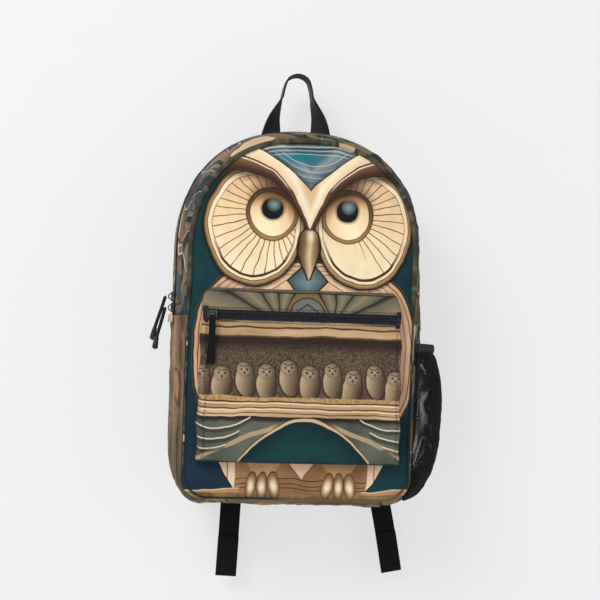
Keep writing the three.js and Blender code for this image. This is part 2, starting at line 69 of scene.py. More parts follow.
# ------------------------------------------------------------------ hanging webbing tails
# The loose lower ends of the two shoulder straps: 25 mm woven polypropylene webbing, 1.7 mm thick.
# Each leaves the ladder lock, hangs below the bag, and ends in a turned-up and stitched hem.
class Flow:
    """One socket of a material. Arithmetic on it adds the Math nodes that work it out."""

    def __init__(self, tree, socket=None):
        self.tree = tree
        self.socket = socket

    def make(self, kind, settings, inputs, output=0):
        """Adds a node, gives it its settings, then its values and links."""
        node = self.tree.nodes.new("ShaderNode" + kind)
        for name, value in settings.items():
            if name == "stops":
                ramp = node.color_ramp
                while len(ramp.elements) < len(value):
                    ramp.elements.new(1.0)
                for element, (place, colour) in zip(ramp.elements, value):
                    element.position = place
                    element.color = colour
            else:
                setattr(node, name, value)
        for name, value in inputs.items():
            if isinstance(value, Flow):
                self.tree.links.new(value.socket, node.inputs[name])
            else:
                node.inputs[name].default_value = value
        return Flow(self.tree, node.outputs[output])

    def math(self, operation, *others, clamp=False):
        settings = {"operation": operation, "use_clamp": clamp}
        return self.make("Math", settings, dict(enumerate((self, *others))))

    def __add__(self, other):
        return self.math("ADD", other)

    __radd__ = __add__

    def __sub__(self, other):
        return self.math("SUBTRACT", other)

    def __rsub__(self, other):
        return self.make("Math", {"operation": "SUBTRACT"}, {0: other, 1: self})

    def __mul__(self, other):
        return self.math("MULTIPLY", other)

    __rmul__ = __mul__

    def __truediv__(self, other):
        return self.math("DIVIDE", other)

    def __pow__(self, other):
        return self.math("POWER", other)

    def __abs__(self):
        return self.math("ABSOLUTE")

    def over(self, level, soft=0.8):
        """1 where this is above the level, 0 below it, with a soft edge."""
        gap = self - level if isinstance(level, Flow) else self
        start = 0.5 if isinstance(level, Flow) else 0.5 - level / soft
        return gap.math("MULTIPLY_ADD", 1 / soft, start, clamp=True)

    def under(self, level, soft=0.8):
        """1 where this is below the level, 0 above it, with a soft edge."""
        gap = self - level if isinstance(level, Flow) else self
        start = 0.5 if isinstance(level, Flow) else 0.5 + level / soft
        return gap.math("MULTIPLY_ADD", -1 / soft, start, clamp=True)

    def line(self, level, half=0.6, soft=0.7):
        """1 on a line where this is at the level."""
        return abs(self - level).under(half, soft)

    def lay(self, mask, colour):
        """This colour with another laid over it where the mask is 1."""
        return self.make("Mix", {"data_type": "RGBA"}, {0: mask, 6: self, 7: colour}, 2)

    def dyed(self, *stops):
        """The colour that a ramp of (place, colour) stops gives this value."""
        return self.make("ValToRGB", {"stops": stops}, {"Fac": self})

    def spots(self, scale, detail=2.0, rough=0.5, stretch=(1, 1, 1)):
        """Noise from 0 to 1 on this vector."""
        spread = self.make("VectorMath", {"operation": "MULTIPLY"}, {0: self, 1: stretch})
        return self.make("TexNoise", {}, {"Vector": spread, "Scale": scale, "Detail": detail,
                                          "Roughness": rough})


def dye(red, green, blue):
    """A colour as a screen shows it, 0 to 255, made linear for a shader."""
    def straight(level):
        level = level / 255
        return level / 12.92 if level <= 0.04045 else ((level + 0.055) / 1.055) ** 2.4
    return straight(red), straight(green), straight(blue), 1.0


def material(name, paint, roughness=0.8, metallic=0.0, sheen=0.0, specular=0.5):
    """A principled material. paint gets the tree and its shader, and links its colour and bump."""
    made = bpy.data.materials.new(name)
    made.use_nodes = True
    shader = made.node_tree.nodes["Principled BSDF"]
    shader.inputs["Roughness"].default_value = roughness
    shader.inputs["Metallic"].default_value = metallic
    shader.inputs["Sheen Weight"].default_value = sheen
    shader.inputs["Specular IOR Level"].default_value = specular
    flow = Flow(made.node_tree)
    given = paint(flow)
    for socket, value in given.items():
        made.node_tree.links.new(value.socket, shader.inputs[socket])
    return made


def bumped(flow, height, strength, distance):
    """The normal that a height gives."""
    return flow.make("Bump", {}, {"Height": height, "Strength": strength, "Distance": distance})


def object_place(flow):
    return flow.make("TexCoord", {}, {}, "Object")


def own_map(flow):
    """The piece's own UV map, in metres."""
    return flow.make("UVMap", {}, {})


def parts_of(flow, vector):
    split = flow.make("SeparateXYZ", {}, {"Vector": vector})
    node = split.socket.node
    return [Flow(flow.tree, node.outputs[i]) for i in range(3)]


def webbing_weave(dark, light):
    """Webbing: ribs across and worn threads."""
    def paint(flow):
        across, along, _ = parts_of(flow, own_map(flow))
        rib = (along * (2 * math.pi / 0.0021)).math("SINE")
        cord = (across * (2 * math.pi / 0.0031)).math("SINE")
        weave = rib * 0.5 + cord * 0.3
        worn = own_map(flow).spots(900, 3)
        # The colour is partly the yarn's own worn tone and partly painted shade: darker in the grooves
        # between ribs and cords, lighter on their crests.
        shade = (worn * 0.7 + weave * 0.2).dyed((0.25, dark), (0.75, light))
        return {
            "Base Color": shade,
            "Roughness": worn * 0.2 + 0.62,
            "Normal": bumped(flow, weave + worn * 0.6, 0.55, 0.0006),
        }
    return paint


def run_of(line):
    """How far along a line each of its points lies."""
    return np.concatenate(([0], np.cumsum(np.linalg.norm(np.diff(line, axis=0), axis=1))))


def join_up(points, count):
    """A smooth line through the points, in millimetres, with its points evenly spaced."""
    points = np.array(points, float)
    ends = np.vstack((2 * points[0] - points[1], points, 2 * points[-1] - points[-2]))
    dense = []
    for i in range(len(points) - 1):
        a, b, c, d = ends[i : i + 4]
        t = np.linspace(0, 1, 40, endpoint=False)[:, None]
        dense.append(0.5 * (2 * b + (c - a) * t + (2 * a - 5 * b + 4 * c - d) * t**2
                            + (3 * b - 3 * c + d - a) * t**3))
    dense = np.vstack(dense + [points[-1:]])
    run = run_of(dense)
    even = np.linspace(0, run[-1], count)
    return np.stack([np.interp(even, run, dense[:, i]) for i in range(3)], 1)


def only(piece):
    """Selects this piece and nothing else."""
    bpy.ops.object.select_all(action="DESELECT")
    piece.select_set(True)
    bpy.context.view_layer.objects.active = piece


def formed(name, columns, rows, place, weld=True):
    """A grid whose points are put at place(share across, share along): x, y, z in mm and two map lengths."""
    bpy.ops.object.select_all(action="DESELECT")
    bpy.ops.mesh.primitive_grid_add(x_subdivisions=columns, y_subdivisions=rows, size=2)
    piece = bpy.context.object
    piece.name = name
    piece.data.name = name
    spots = np.empty(len(piece.data.vertices) * 3)
    piece.data.vertices.foreach_get("co", spots)
    spots = spots.reshape(-1, 3)
    x, y, z, across, along = place((spots[:, 0] + 1) / 2, (spots[:, 1] + 1) / 2)
    piece.data.vertices.foreach_set("co", (np.stack((x, y, z), 1) / 1000).ravel())
    corner = np.empty(len(piece.data.loops), int)
    piece.data.loops.foreach_get("vertex_index", corner)
    flat = np.stack((across[corner], along[corner]), 1) / 1000
    piece.data.uv_layers[0].data.foreach_set("uv", flat.ravel())
    if weld:
        only(piece)
        bpy.ops.object.mode_set(mode="EDIT")
        bpy.ops.mesh.select_all(action="SELECT")
        bpy.ops.mesh.remove_doubles(threshold=0.00002)
        bpy.ops.object.mode_set(mode="OBJECT")
    piece.data.polygons.foreach_set("use_smooth", [True] * len(piece.data.polygons))
    return piece


def face_from(piece, *heart):
    """Turns the faces away from a point inside the piece, given in mm."""
    heart = np.array(heart) / 1000
    centres = np.array([face.center for face in piece.data.polygons])
    turned = np.array([face.normal for face in piece.data.polygons])
    if ((centres - heart) * turned).sum() < 0:
        piece.data.flip_normals()
    return piece


def given(piece, kind, **settings):
    """Gives the piece a modifier and applies it, with room for a second material where one is offset."""
    only(piece)
    while len(piece.data.materials) < 1 + settings.get("material_offset", 0):
        piece.data.materials.append(None)
    modifier = piece.modifiers.new(kind, kind)
    for name, value in settings.items():
        setattr(modifier, name, value)
    bpy.ops.object.modifier_apply(modifier=modifier.name)
    return piece


def finished(piece, coat, slot, body, *nodes):
    """Gives a piece its material and body, and hides the CAD nodes it stands for; its slot is not used."""
    coats = coat if isinstance(coat, (list, tuple)) else [coat]
    while len(piece.data.materials) < len(coats):
        piece.data.materials.append(None)
    for place, each in enumerate(coats):
        piece.data.materials[place] = each
    if body:
        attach(piece, body)
    if nodes:
        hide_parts(*nodes)
    return piece


def strip(name, line, breadth, width, thick, ripple=0.0):
    """A flat strap along a line, with its width laid along breadth."""
    breadth = np.array(breadth, float) * np.ones((len(line), 1))
    breadth /= np.linalg.norm(breadth, axis=1)[:, None]
    run = run_of(line)

    def place(u, v):
        at = np.rint(v * (len(line) - 1)).astype(int)
        spot = line[at] + breadth[at] * ((u - 0.5) * width)[:, None]
        spot[:, 1] += ripple * np.sin(run[at] / 9) * (u - 0.5)
        return spot[:, 0], spot[:, 1], spot[:, 2], u * width, run[at]

    piece = formed(name, 8, len(line) - 1, place, weld=False)
    given(piece, "SOLIDIFY", thickness=thick / 1000, offset=0, use_even_offset=True)
    given(piece, "BEVEL", width=thick * 0.0003, segments=2, limit_method="ANGLE")
    only(piece)
    bpy.ops.object.shade_smooth_by_angle(angle=math.radians(40))
    return piece


black_webbing = material("black_webbing", webbing_weave(dye(10, 10, 11), dye(34, 32, 33)), roughness=0.75,
                         specular=0.12)
TAIL_WIDTH = 25
TAIL_THICK = 1.7
TAILS = {
    "left": [(-66, 31, -345), (-64, 31, -400), (-61, 28, -470), (-63, 22, -540), (-66, 20, -616)],
    "right": [(66, 31, -345), (84, 32, -400), (112, 30, -470), (128, 22, -540), (141, 20, -608)],
}
for side, route in TAILS.items():
    line = join_up(route, 34)
    down = line[-1] - line[-5]
    breadth = np.cross(down / np.linalg.norm(down), (0, 1, 0))
    tail = strip("webbing_tail_" + side, line, breadth, TAIL_WIDTH, TAIL_THICK)
    hem_line = join_up(line[-7:] - np.array((0, 1.8, 0)), 14)
    hem = strip("tail_hem_" + side, hem_line, breadth, TAIL_WIDTH + 0.6, TAIL_THICK)
    finished(tail, black_webbing, "webbing", "shoulder_strap_" + side, "webbing_tail_" + side)
    finished(hem, black_webbing, "webbing", "shoulder_strap_" + side)


# ------------------------------------------------------------------ side, top and base cloth
# The deep band round the bag: printed polyester canvas, cut in panels and sewn edge to edge.
# It is widest at the zip, and draws in towards the smaller front panel.
HALF_WIDTH = 143
ARCH_RISE = 144
SHOULDER = -220
BASE = -513
CORNER = 32
CURVE = 2 / 2.3
FOLD = -258
ZIP_END = -296


def drawn_in(x, z, share):
    """The outline drawn in towards the front panel, which is 129 wide each side at a share of 1."""
    above = np.clip(z - FOLD, 0, None)
    below = np.clip(FOLD - z, 0, None)
    return x * (1 - share * 0.098), FOLD + above * (1 - share * 0.09) - below * (1 - share * 0.0556)


def edge_line():
    """The bag's outline from the middle of the base, up the right side, over and back, in even steps."""
    turn = np.linspace(0, math.pi, 361)
    arch_x = np.sign(np.cos(turn)) * np.abs(np.cos(turn)) ** CURVE * HALF_WIDTH
    arch_z = SHOULDER + np.sin(turn) ** CURVE * ARCH_RISE
    bend = np.linspace(-math.pi / 2, 0, 25)
    low_x = HALF_WIDTH - CORNER + CORNER * np.cos(bend)
    low_z = BASE + CORNER + CORNER * np.sin(bend)
    right = np.stack((np.concatenate(([0], low_x)), np.concatenate(([BASE], low_z))), 1)
    arch = np.stack((arch_x, arch_z), 1)
    return np.vstack((right, arch, right[::-1] * (-1, 1)))


OUTLINE = edge_line()
OUTLINE_RUN = run_of(OUTLINE)
ROUND = OUTLINE_RUN[-1]


def run_at(height):
    """How far along the outline the right side reaches a height."""
    straight = OUTLINE_RUN[26]
    return straight + (height - SHOULDER) if height < SHOULDER else straight


def depth_share(y):
    """How far the cloth has drawn in at a depth: none at the zip, all at the front, a little at the back."""
    front = np.clip((-68 - y) / 60, 0, 1)
    back = np.clip((y + 30) / 42, 0, 1)
    return 0.55 * (1 - np.sqrt(1 - front**2)) + 0.45 * front**1.2 + 0.3 * (1 - np.sqrt(1 - back**2))


def on_side(run, y, proud=0.0):
    """A point on the side cloth, from its run round the outline and its depth."""
    x = np.interp(run, OUTLINE_RUN, OUTLINE[:, 0])
    z = np.interp(run, OUTLINE_RUN, OUTLINE[:, 1])
    ahead_x = np.interp(run + 2, OUTLINE_RUN, OUTLINE[:, 0]) - np.interp(run - 2, OUTLINE_RUN, OUTLINE[:, 0])
    ahead_z = np.interp(run + 2, OUTLINE_RUN, OUTLINE[:, 1]) - np.interp(run - 2, OUTLINE_RUN, OUTLINE[:, 1])
    size = np.hypot(ahead_x, ahead_z) + 1e-9
    full = np.where(x > 0, 8.0, 1.5) * np.exp(-(((z + 345) / 70) ** 2)) * (np.abs(x) > 112)
    belly = full * np.sin(np.clip((10 - y) / 136, 0, 1) * math.pi)
    x = x + ahead_z / size * (proud + belly)
    z = z - ahead_x / size * (proud + belly * 0.2)
    rounding = np.clip((-445 - z) / 68, 0, 1) ** 1.6 * np.clip((-x - 70) / 60, 0, 1)
    x = x + 11 * rounding * np.clip((y + 128) / 60, 0, 1)
    return drawn_in(x, z, depth_share(y))


def creased(piece, height, reach, seed, pinned=None, stretch=(1, 1, 1)):
    """Moves the points of a cloth in and out of its face in soft creases, less where it is pinned."""
    spots = np.array([point.co for point in piece.data.vertices])
    faces = np.array([point.normal for point in piece.data.vertices])
    lift = np.array([noise.fractal(Vector(spot) * 1000 / reach * Vector(stretch) + Vector((seed, 0, 0)),
                                   0.9, 2.1, 3) for spot in spots])
    hold = np.ones(len(spots)) if pinned is None else pinned(spots * 1000)
    spots += faces * (lift * hold * height / 1000)[:, None]
    piece.data.vertices.foreach_set("co", spots.ravel())
    piece.data.update()


def side_cloth(name, runs, depths, columns, rows, seed, proud=0.0):
    """One panel of the band, between two runs round the outline and two depths."""
    def place(u, v):
        run = runs[0] + u * (runs[1] - runs[0])
        y = depths[0] + v * (depths[1] - depths[0])
        x, z = on_side(run, y, proud)
        return x, y, z, run, y
    piece = formed(name, columns, rows, place)
    face_from(piece, 0, -60, -290)
    low, high = sorted(depths)

    def seams(spots):
        gap = np.minimum(spots[:, 1] - low, high - spots[:, 1])
        return np.clip(gap / 12, 0, 1) ** 0.7
    creased(piece, 2.2, 34, seed, seams)
    creased(piece, 0.7, 11, seed + 5, seams)
    given(piece, "SOLIDIFY", thickness=0.0012, offset=-1, material_offset=1)
    return piece


def lining_weave(flow):
    place = object_place(flow)
    threads = place.spots(1500, 2)
    shade = threads.dyed((0.3, dye(20, 21, 24)), (0.7, dye(38, 39, 43)))
    return {"Base Color": shade, "Normal": bumped(flow, threads, 0.4, 0.0004)}


lining = material("lining", lining_weave, roughness=0.7)


def canvas(flow, colour, vector):
    """Finishes a printed colour as canvas: a fine weave, slubs, and slight fading of the dye."""
    x, y, _ = parts_of(flow, vector)
    weave = (x * 5200).math("SINE") * (y * 5200).math("SINE")
    slubs = vector.spots(420, 3, 0.6)
    fade = vector.spots(26, 3, 0.6)
    worn = flow.make("HueSaturation", {}, {"Value": fade * 0.35 + slubs * 0.1 + 0.78, "Color": colour})
    return {
        "Base Color": worn,
        "Roughness": slubs * 0.15 + 0.7,
        "Normal": bumped(flow, weave * 0.5 + slubs, 0.25, 0.0005),
    }


def scrap_print(flow):
    """The band's print: overlapping scraps of olive, brown, teal, cream and black with thin pale curves."""
    vector = own_map(flow)
    drift = vector.spots(7.5, 2, 0.45, (1, 1.3, 1))
    other = vector.spots(11, 1.5, 0.4, (1, 1.4, 1))
    third = vector.spots(15, 1.5, 0.4, (1.2, 0.8, 1))
    colour = drift.dyed((0.34, dye(18, 52, 58)), (0.40, dye(20, 46, 52)), (0.41, dye(88, 82, 60)),
                        (0.50, dye(120, 112, 84)), (0.505, dye(30, 28, 26)), (0.54, dye(34, 34, 38)),
                        (0.545, dye(126, 98, 66)), (0.62, dye(96, 70, 46)), (0.63, dye(212, 186, 150)),
                        (0.68, dye(190, 160, 120)))
    colour = colour.lay(other.over(0.60, 0.02),
                        third.dyed((0.35, dye(24, 24, 28)), (0.5, dye(72, 76, 66)),
                                   (0.65, dye(18, 56, 62))))
    colour = colour.lay(third.line(0.47, 0.0035, 0.004), dye(206, 200, 184))
    colour = colour.lay(third.line(0.485, 0.004, 0.006), dye(30, 24, 20))
    colour = colour.lay(drift.line(0.455, 0.005, 0.005), dye(40, 32, 24))
    return canvas(flow, colour, vector)


def wood_print(flow):
    """The lower band's print: upright carved bars and flowing wood grain in olive brown."""
    vector = own_map(flow)
    _, y, _ = parts_of(flow, vector)
    drift = vector.spots(8, 2, 0.5, (0.3, 1, 1))
    bar = (y * 42 + drift * 1.6).math("PINGPONG", 1.0)
    grain = (y * 300 + drift * 22).math("PINGPONG", 1.0)
    colour = (bar * 0.75 + grain * 0.25).dyed((0.0, dye(58, 44, 30)), (0.1, dye(84, 68, 46)),
                                              (0.45, dye(116, 94, 66)), (0.8, dye(150, 122, 84)),
                                              (1.0, dye(172, 142, 100)))
    colour = colour.lay(drift.over(0.58, 0.06) * 0.8, dye(78, 72, 50))
    knot = vector.spots(14, 1, 0.4, (0.7, 1, 1))
    rings = (knot * 26).math("PINGPONG", 1.0)
    colour = colour.lay(knot.over(0.6, 0.08), rings.dyed((0.1, dye(66, 48, 30)), (0.6, dye(150, 118, 78))))
    colour = colour.lay(bar.under(0.04, 0.04), dye(34, 26, 18))
    colour = colour.lay(grain.under(0.06, 0.1) * 0.6, dye(52, 38, 26))
    return canvas(flow, colour, vector)


scraps = material("scrap_print", scrap_print, sheen=0.03, specular=0.15)
wood = material("wood_print", wood_print, sheen=0.03, specular=0.15)
BACK_EDGE = 10.5
FRONT_EDGE = -128
ZIP_DEPTHS = (-66.5, -83.5)
HIGH_RUN = run_at(ZIP_END)
LOW_RUN = run_at(BASE + CORNER) - 55
rear_top = side_cloth("rear_gusset", (HIGH_RUN, ROUND - HIGH_RUN), (BACK_EDGE, ZIP_DEPTHS[0]), 220, 30, 3)
finished(rear_top, [scraps, lining], "printed_cloth", "bag", "rear_gusset")
front_top = side_cloth("front_gusset", (HIGH_RUN, ROUND - HIGH_RUN), (ZIP_DEPTHS[1], FRONT_EDGE), 260, 22, 9)
finished(front_top, [scraps, lining], "printed_cloth", None,
         "front_gusset_top", "front_gusset_foot_left", "front_gusset_foot_right")
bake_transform(front_top)
for side, runs in (("right", (LOW_RUN, HIGH_RUN)), ("left", (ROUND - HIGH_RUN, ROUND - LOW_RUN))):
    panel = side_cloth("side_gusset_" + side, runs, (BACK_EDGE, FRONT_EDGE), 90, 56,
                       14 if side == "left" else 21)
    finished(panel, [wood if side == "left" else scraps, lining], "printed_cloth", "bag",
             "side_gusset_" + side)
for name, runs in (("base_right", (0, LOW_RUN)), ("base_left", (ROUND - LOW_RUN, ROUND))):
    base = side_cloth(name, runs, (BACK_EDGE, FRONT_EDGE), 40, 50, 31)
    finished(base, [wood, lining], "printed_cloth", "bag", "bottom_panel", "bottom_front_strip")


# ------------------------------------------------------------------ front panel
# The large printed face: one piece of polyester canvas, sewn to the band all round its edge.
# The print is a generic wooden owl. On the bag its upper part folds forwards when the main zip is open; here
# the panel is one fixed piece that does not fold.
PANEL_Y = -128.6
PANEL_TOP = -93
PANEL_BASE = -500.5
PANEL_CORNER = 24
PANEL_SPRING = FOLD + 33.554


def panel_edge(z):
    """Half the front panel's width at a height."""
    arch = np.clip((z - PANEL_SPRING) / (PANEL_TOP - PANEL_SPRING), 0, 1)
    corner = np.clip((PANEL_BASE + PANEL_CORNER - z) / PANEL_CORNER, 0, 1)
    low = np.clip((FOLD - z) / 60, 0, 1)
    return (128.5 + 2 * low) * (1 - arch**2.3) ** (1 / 2.3) - PANEL_CORNER * (1 - np.sqrt(1 - corner**2))


def panel_swell(x, z):
    """How far the stuffed front panel stands out from its seam, in mm."""
    side = np.clip(1 - np.abs(x) / np.maximum(panel_edge(z), 1), 0, 1)
    top = np.clip((PANEL_TOP - z) / 60, 0, 1)
    base = np.clip((z - PANEL_BASE) / 50, 0, 1)
    return 7 * (1 - (1 - side) ** 4) * np.sin(top * math.pi / 2) * np.sin(base * math.pi / 2)


def on_panel(x, z):
    """The front panel's depth at a point, without its creases."""
    return PANEL_Y - panel_swell(x, z)


def panel_place(u, v):
    low = PANEL_BASE + PANEL_CORNER
    high = PANEL_SPRING
    part = v * 10
    z = np.where(part < 1, low - PANEL_CORNER * np.cos(part.clip(0, 1) * math.pi / 2),
                 np.where(part < 5.6, low + (part - 1) / 4.6 * (high - low), 0))
    turn = ((part - 5.6) / 4.4).clip(0, 1) * math.pi / 2
    z = np.where(part >= 5.6, high + (PANEL_TOP - high) * np.sin(turn) ** CURVE, z)
    x = (u * 2 - 1) * panel_edge(z)
    return x, on_panel(x, z), z, x, z


def panel_hold(spots):
    gap = np.minimum(panel_edge(spots[:, 2]) - np.abs(spots[:, 0]), PANEL_TOP - spots[:, 2])
    return np.clip(gap / 14, 0, 1) ** 0.6


def mirrored(flow):
    """Across and up on the print in mm, with a hand-drawn waver, and the distance from its middle."""
    vector = own_map(flow)
    waver = flow.make("VectorMath", {"operation": "SUBTRACT"}, {
        0: Flow(flow.tree, vector.spots(30, 2).socket.node.outputs["Color"]), 1: (0.5, 0.5, 0.5)})
    shaken = flow.make("VectorMath", {"operation": "MULTIPLY_ADD"},
                       {0: waver, 1: (0.006, 0.006, 0), 2: vector})
    x, z, _ = parts_of(flow, shaken)
    x = x * 1000 - 5
    return vector, x, z * 1000, abs(x)


def length_of(a, b):
    return (a * a + b * b) ** 0.5


BROWN_LINE = dye(62, 38, 26)
CREAM = dye(240, 217, 178)
PEACH = dye(228, 190, 154)


EYE_X = 42.6
EYE_Z = -177
SPOKES = 36


def face_print(flow):
    vector, x, z, ax = mirrored(flow)
    tone = vector.spots(18, 3, 0.55)
    grainy = vector.spots(60, 3, 0.6, (1, 0.12, 1))
    dark = tone.dyed((0.3, dye(13, 44, 52)), (0.7, dye(22, 62, 66)))
    low_navy = (z * -1 - 300).over(60, 120) * (x * -1).over(10, 60)
    colour = dark.lay(low_navy * 0.8, dye(26, 44, 62))
    # body and wings
    body = ((ax / 127) ** 3 + (abs(z + 335) / 105) ** 3) ** 0.3333
    inside = body.under(1, 0.015) * z.over(-404, 1)
    wood_tone = (grainy * 0.6 + tone * 0.4).dyed((0.3, dye(198, 150, 108)), (0.55, PEACH),
                                                 (0.75, dye(240, 212, 176)))
    wood_tone = wood_tone.lay(body.over(0.9, 0.25) * 0.35, dye(160, 110, 74))
    for level, half in ((0.955, 0.004), (0.905, 0.003), (0.86, 0.003), (0.995, 0.009)):
        wood_tone = wood_tone.lay(body.line(level, half, 0.006), BROWN_LINE)
    colour = colour.lay(inside, wood_tone)
    plume = (ax * 0.55 + z * 0.84).math("PINGPONG", 9)
    plume_area = z.under(-248, 3) * inside * ax.under(92, 6)
    colour = colour.lay(plume.under(0.45, 0.6) * plume_area * 0.85, BROWN_LINE)
    # blue-grey diamond on the breast
    diamond = ax / 23 + abs(z + 252) / 24
    colour = colour.lay(diamond.under(1.08, 0.06), dye(28, 34, 36))
    colour = colour.lay(diamond.under(0.98, 0.05),
                        diamond.dyed((0.0, dye(120, 138, 140)), (1.0, dye(66, 82, 88))))
    # the two feathered discs round the eyes
    disc = length_of((ax - 62) / 52, (z + 190) / 63)
    colour = colour.lay(disc.under(1.13, 0.07), dye(22, 24, 22))
    colour = colour.lay(disc.under(1.075, 0.015),
                        (disc * -9 + 10.0 + tone * 0.3 - 0.15).dyed((0.0, dye(66, 44, 28)),
            (0.5, dye(132, 98, 64)), (1.0, dye(196, 160, 116))))
    colour = colour.lay(disc.under(1.0, 0.012), CREAM)
    colour = colour.lay(disc.line(1.0, 0.009, 0.012), BROWN_LINE)
    sole = (z * -1 - 215).over(0, 30)
    colour = colour.lay(disc.under(0.945, 0.012) * sole * disc.over(0.9, 0.01), dye(70, 44, 30))
    out_x = ax - EYE_X
    out_z = z - EYE_Z
    from_eye = length_of(out_x, out_z)
    around = out_z.math("ARCTAN2", out_x)
    fan = ((z + 130) * -0.006 + grainy * 0.35).dyed((0.15, dye(214, 172, 128)),
                                                    (0.45, dye(236, 202, 158)), (0.8, dye(244, 224, 184)))
    fan_area = disc.under(0.905, 0.012)
    colour = colour.lay(fan_area, fan)
    colour = colour.lay(disc.line(0.905, 0.006, 0.01), BROWN_LINE)
    spoke = (around * (SPOKES / (2 * math.pi)) + tone * 0.9).math("PINGPONG", 0.5)
    spoke_mm = spoke * from_eye * (2 * math.pi / SPOKES)
    bare = x.over(0) * out_z.under(-10, 12) * (out_z + out_x * 1.1).under(-18, 14)
    ribs = spoke_mm.under(0.5, 0.55) * fan_area * from_eye.over(30, 1) * (1 - bare)
    colour = colour.lay(ribs, dye(66, 42, 28))
    # eye, lid shadow and pupil
    shadow = (from_eye + out_z * -0.35 + out_x * 0.2).under(30, 14)
    colour = colour.lay(shadow * 0.85, dye(92, 60, 38))
    colour = colour.lay(from_eye.under(30.5, 1.2), dye(44, 28, 20))
    colour = colour.lay(from_eye.under(29.4, 1.2),
                        (out_z * 0.016 + from_eye * 0.02 - 0.1).dyed((0.0, dye(160, 124, 84)),
            (0.5, dye(104, 74, 46)), (1.0, dye(62, 42, 28))))
    colour = colour.lay(from_eye.line(25.9, 0.3, 0.9), dye(50, 32, 24))
    ball = (out_z * 0.02 + from_eye * 0.02 + out_x * -0.008 + 0.02).dyed((0.0, dye(250, 228, 190)),
            (0.4, dye(232, 198, 154)), (0.68, dye(170, 128, 88)), (1.0, dye(60, 40, 28)))
    colour = colour.lay(from_eye.under(25.4, 0.9), ball)
    pupil = length_of(ax - 42.5, z + 171.5)
    colour = colour.lay(pupil.under(14.4, 2.6) * 0.6, dye(60, 40, 28))
    colour = colour.lay(pupil.under(12.4, 0.9), dye(20, 22, 24))
    glint = length_of(x - x.math("SIGN") * 42.5 - 1.6, z + 166.5)
    colour = colour.lay(glint.under(5.2, 7.0), dye(122, 140, 136))
    # brow: a cream band with a brown underside, sweeping from between the eyes up to the ears
    upper = ax * 1.06 - ax * ax * 0.005 - 148.5
    lower = (ax * (-1 / 31)).math("EXPONENT") * -91 - 105
    ear = (ax * 0.54 + z * 0.84).under(0.54 * 62 - 0.84 * 102 + 4, 1.2)
    under_brow = z - lower
    thick = ax * 0.1 + 8.5
    under_brow = under_brow.math("MINIMUM", 60)
    shade_area = (under_brow + thick * 1.5).over(0, 9) * z.under(upper) * ear
    colour = colour.lay(shade_area * 0.8, dye(58, 38, 26))
    colour = colour.lay((under_brow + thick).over(-0.8, 0.8) * z.under(upper) * ear, dye(40, 26, 20))
    colour = colour.lay((under_brow + thick).over(0.4, 0.8) * z.under(upper) * ear,
                        (under_brow * 0.07 + ax * 0.007 + tone * 0.3 + 0.2).dyed((0.0, dye(66, 44, 34)),
            (0.5, dye(112, 80, 58)), (1.0, dye(158, 120, 84))))
    colour = colour.lay(under_brow.line(-1.8, 0.9, 0.9) * z.under(upper) * ear * ax.over(26, 6),
                        dye(232, 204, 186))
    brow_area = (z - lower).over(0.2, 0.8) * z.under(upper) * ear
    brow = ((z - lower) * 0.03 + tone * 0.5 - 0.2).dyed((0.0, dye(228, 192, 150)),
                                                        (0.5, dye(242, 228, 196)),
                                                        (1.0, dye(222, 184, 138)))
    colour = colour.lay(brow_area, brow)
    colour = colour.lay((z - lower).line(0.2, 0.9, 0.8) * z.under(upper) * ear, dye(52, 32, 24))
    colour = colour.lay((z - upper).line(0, 0.8, 0.9) * (z - lower).over(0) * ax.under(112, 2), BROWN_LINE)
    # crown: a V of blue-grey feathers with pale contour lines
    rise = z - upper
    crown_area = rise.over(0.6, 0.8) * ax.under(74, 3)
    sway = tone * 5 - 2.5
    arc = z + x * x * 0.0019 + 95 + sway
    crown = (rise * 0.035 + tone * 0.3 - 0.05).dyed((0.0, dye(60, 70, 74)), (0.3, dye(104, 118, 124)),
                                                    (0.7, dye(136, 148, 152)), (1.0, dye(84, 98, 104)))
    blob = length_of((x + 12) / 30, (z + 112) / 11)
    crown = crown.lay(blob.under(0.7, 0.9), dye(26, 112, 130))
    for level, half, light in ((-3.5, 0.35, dye(222, 220, 206)), (-8, 0.3, dye(186, 198, 198)),
                               (-12.5, 0.28, dye(190, 206, 206)), (-6, 0.5, dye(34, 44, 48)),
                               (-10.5, 0.4, dye(46, 62, 68))):
        crown = crown.lay(arc.line(level, half, 0.7), light)
    bowed = z - (x - 3) * (x - 3) * 0.0105 + sway * 0.8
    for level, light in ((-121, dye(196, 208, 206)), (-127.5, dye(178, 194, 196)), (-131, dye(46, 56, 60)),
                         (-135, dye(170, 186, 190)), (-141, dye(48, 58, 62))):
        crown = crown.lay(bowed.line(level, 0.3, 0.7) * z.under(-106, 6), light)
    crown = crown.lay(rise.line(1.6, 0.5, 0.9), dye(62, 72, 76))
    crown = crown.lay(arc.over(-1, 2), dye(30, 36, 34))
    colour = colour.lay(crown_area, crown)
    # beak
    down = (z * -1 - 193) / 58
    beak_half = ((down.math("MAXIMUM", 0.0001) ** 0.62) * math.pi)
    beak_half = beak_half.math("SINE") * 11.6
    beak_on = down.over(0, 0.01) * down.under(1, 0.01)
    colour = colour.lay((ax - beak_half).under(2.2, 1.5) * beak_on, dye(34, 24, 18))
    beak = (x * 0.042 + 0.5).dyed((0.0, dye(58, 40, 26)), (0.3, dye(126, 98, 66)),
                                  (0.56, dye(214, 190, 150)), (0.7, dye(164, 132, 92)),
                                  (1.0, dye(66, 44, 28)))
    beak = beak.lay(down.line(0.16, 0.08, 0.1) * x.line(1, 3, 4) * 0.7, dye(236, 218, 184))
    beak = beak.lay(down.under(0.04, 0.05), dye(60, 40, 28))
    colour = colour.lay((ax - beak_half).under(0, 0.9) * beak_on, beak)
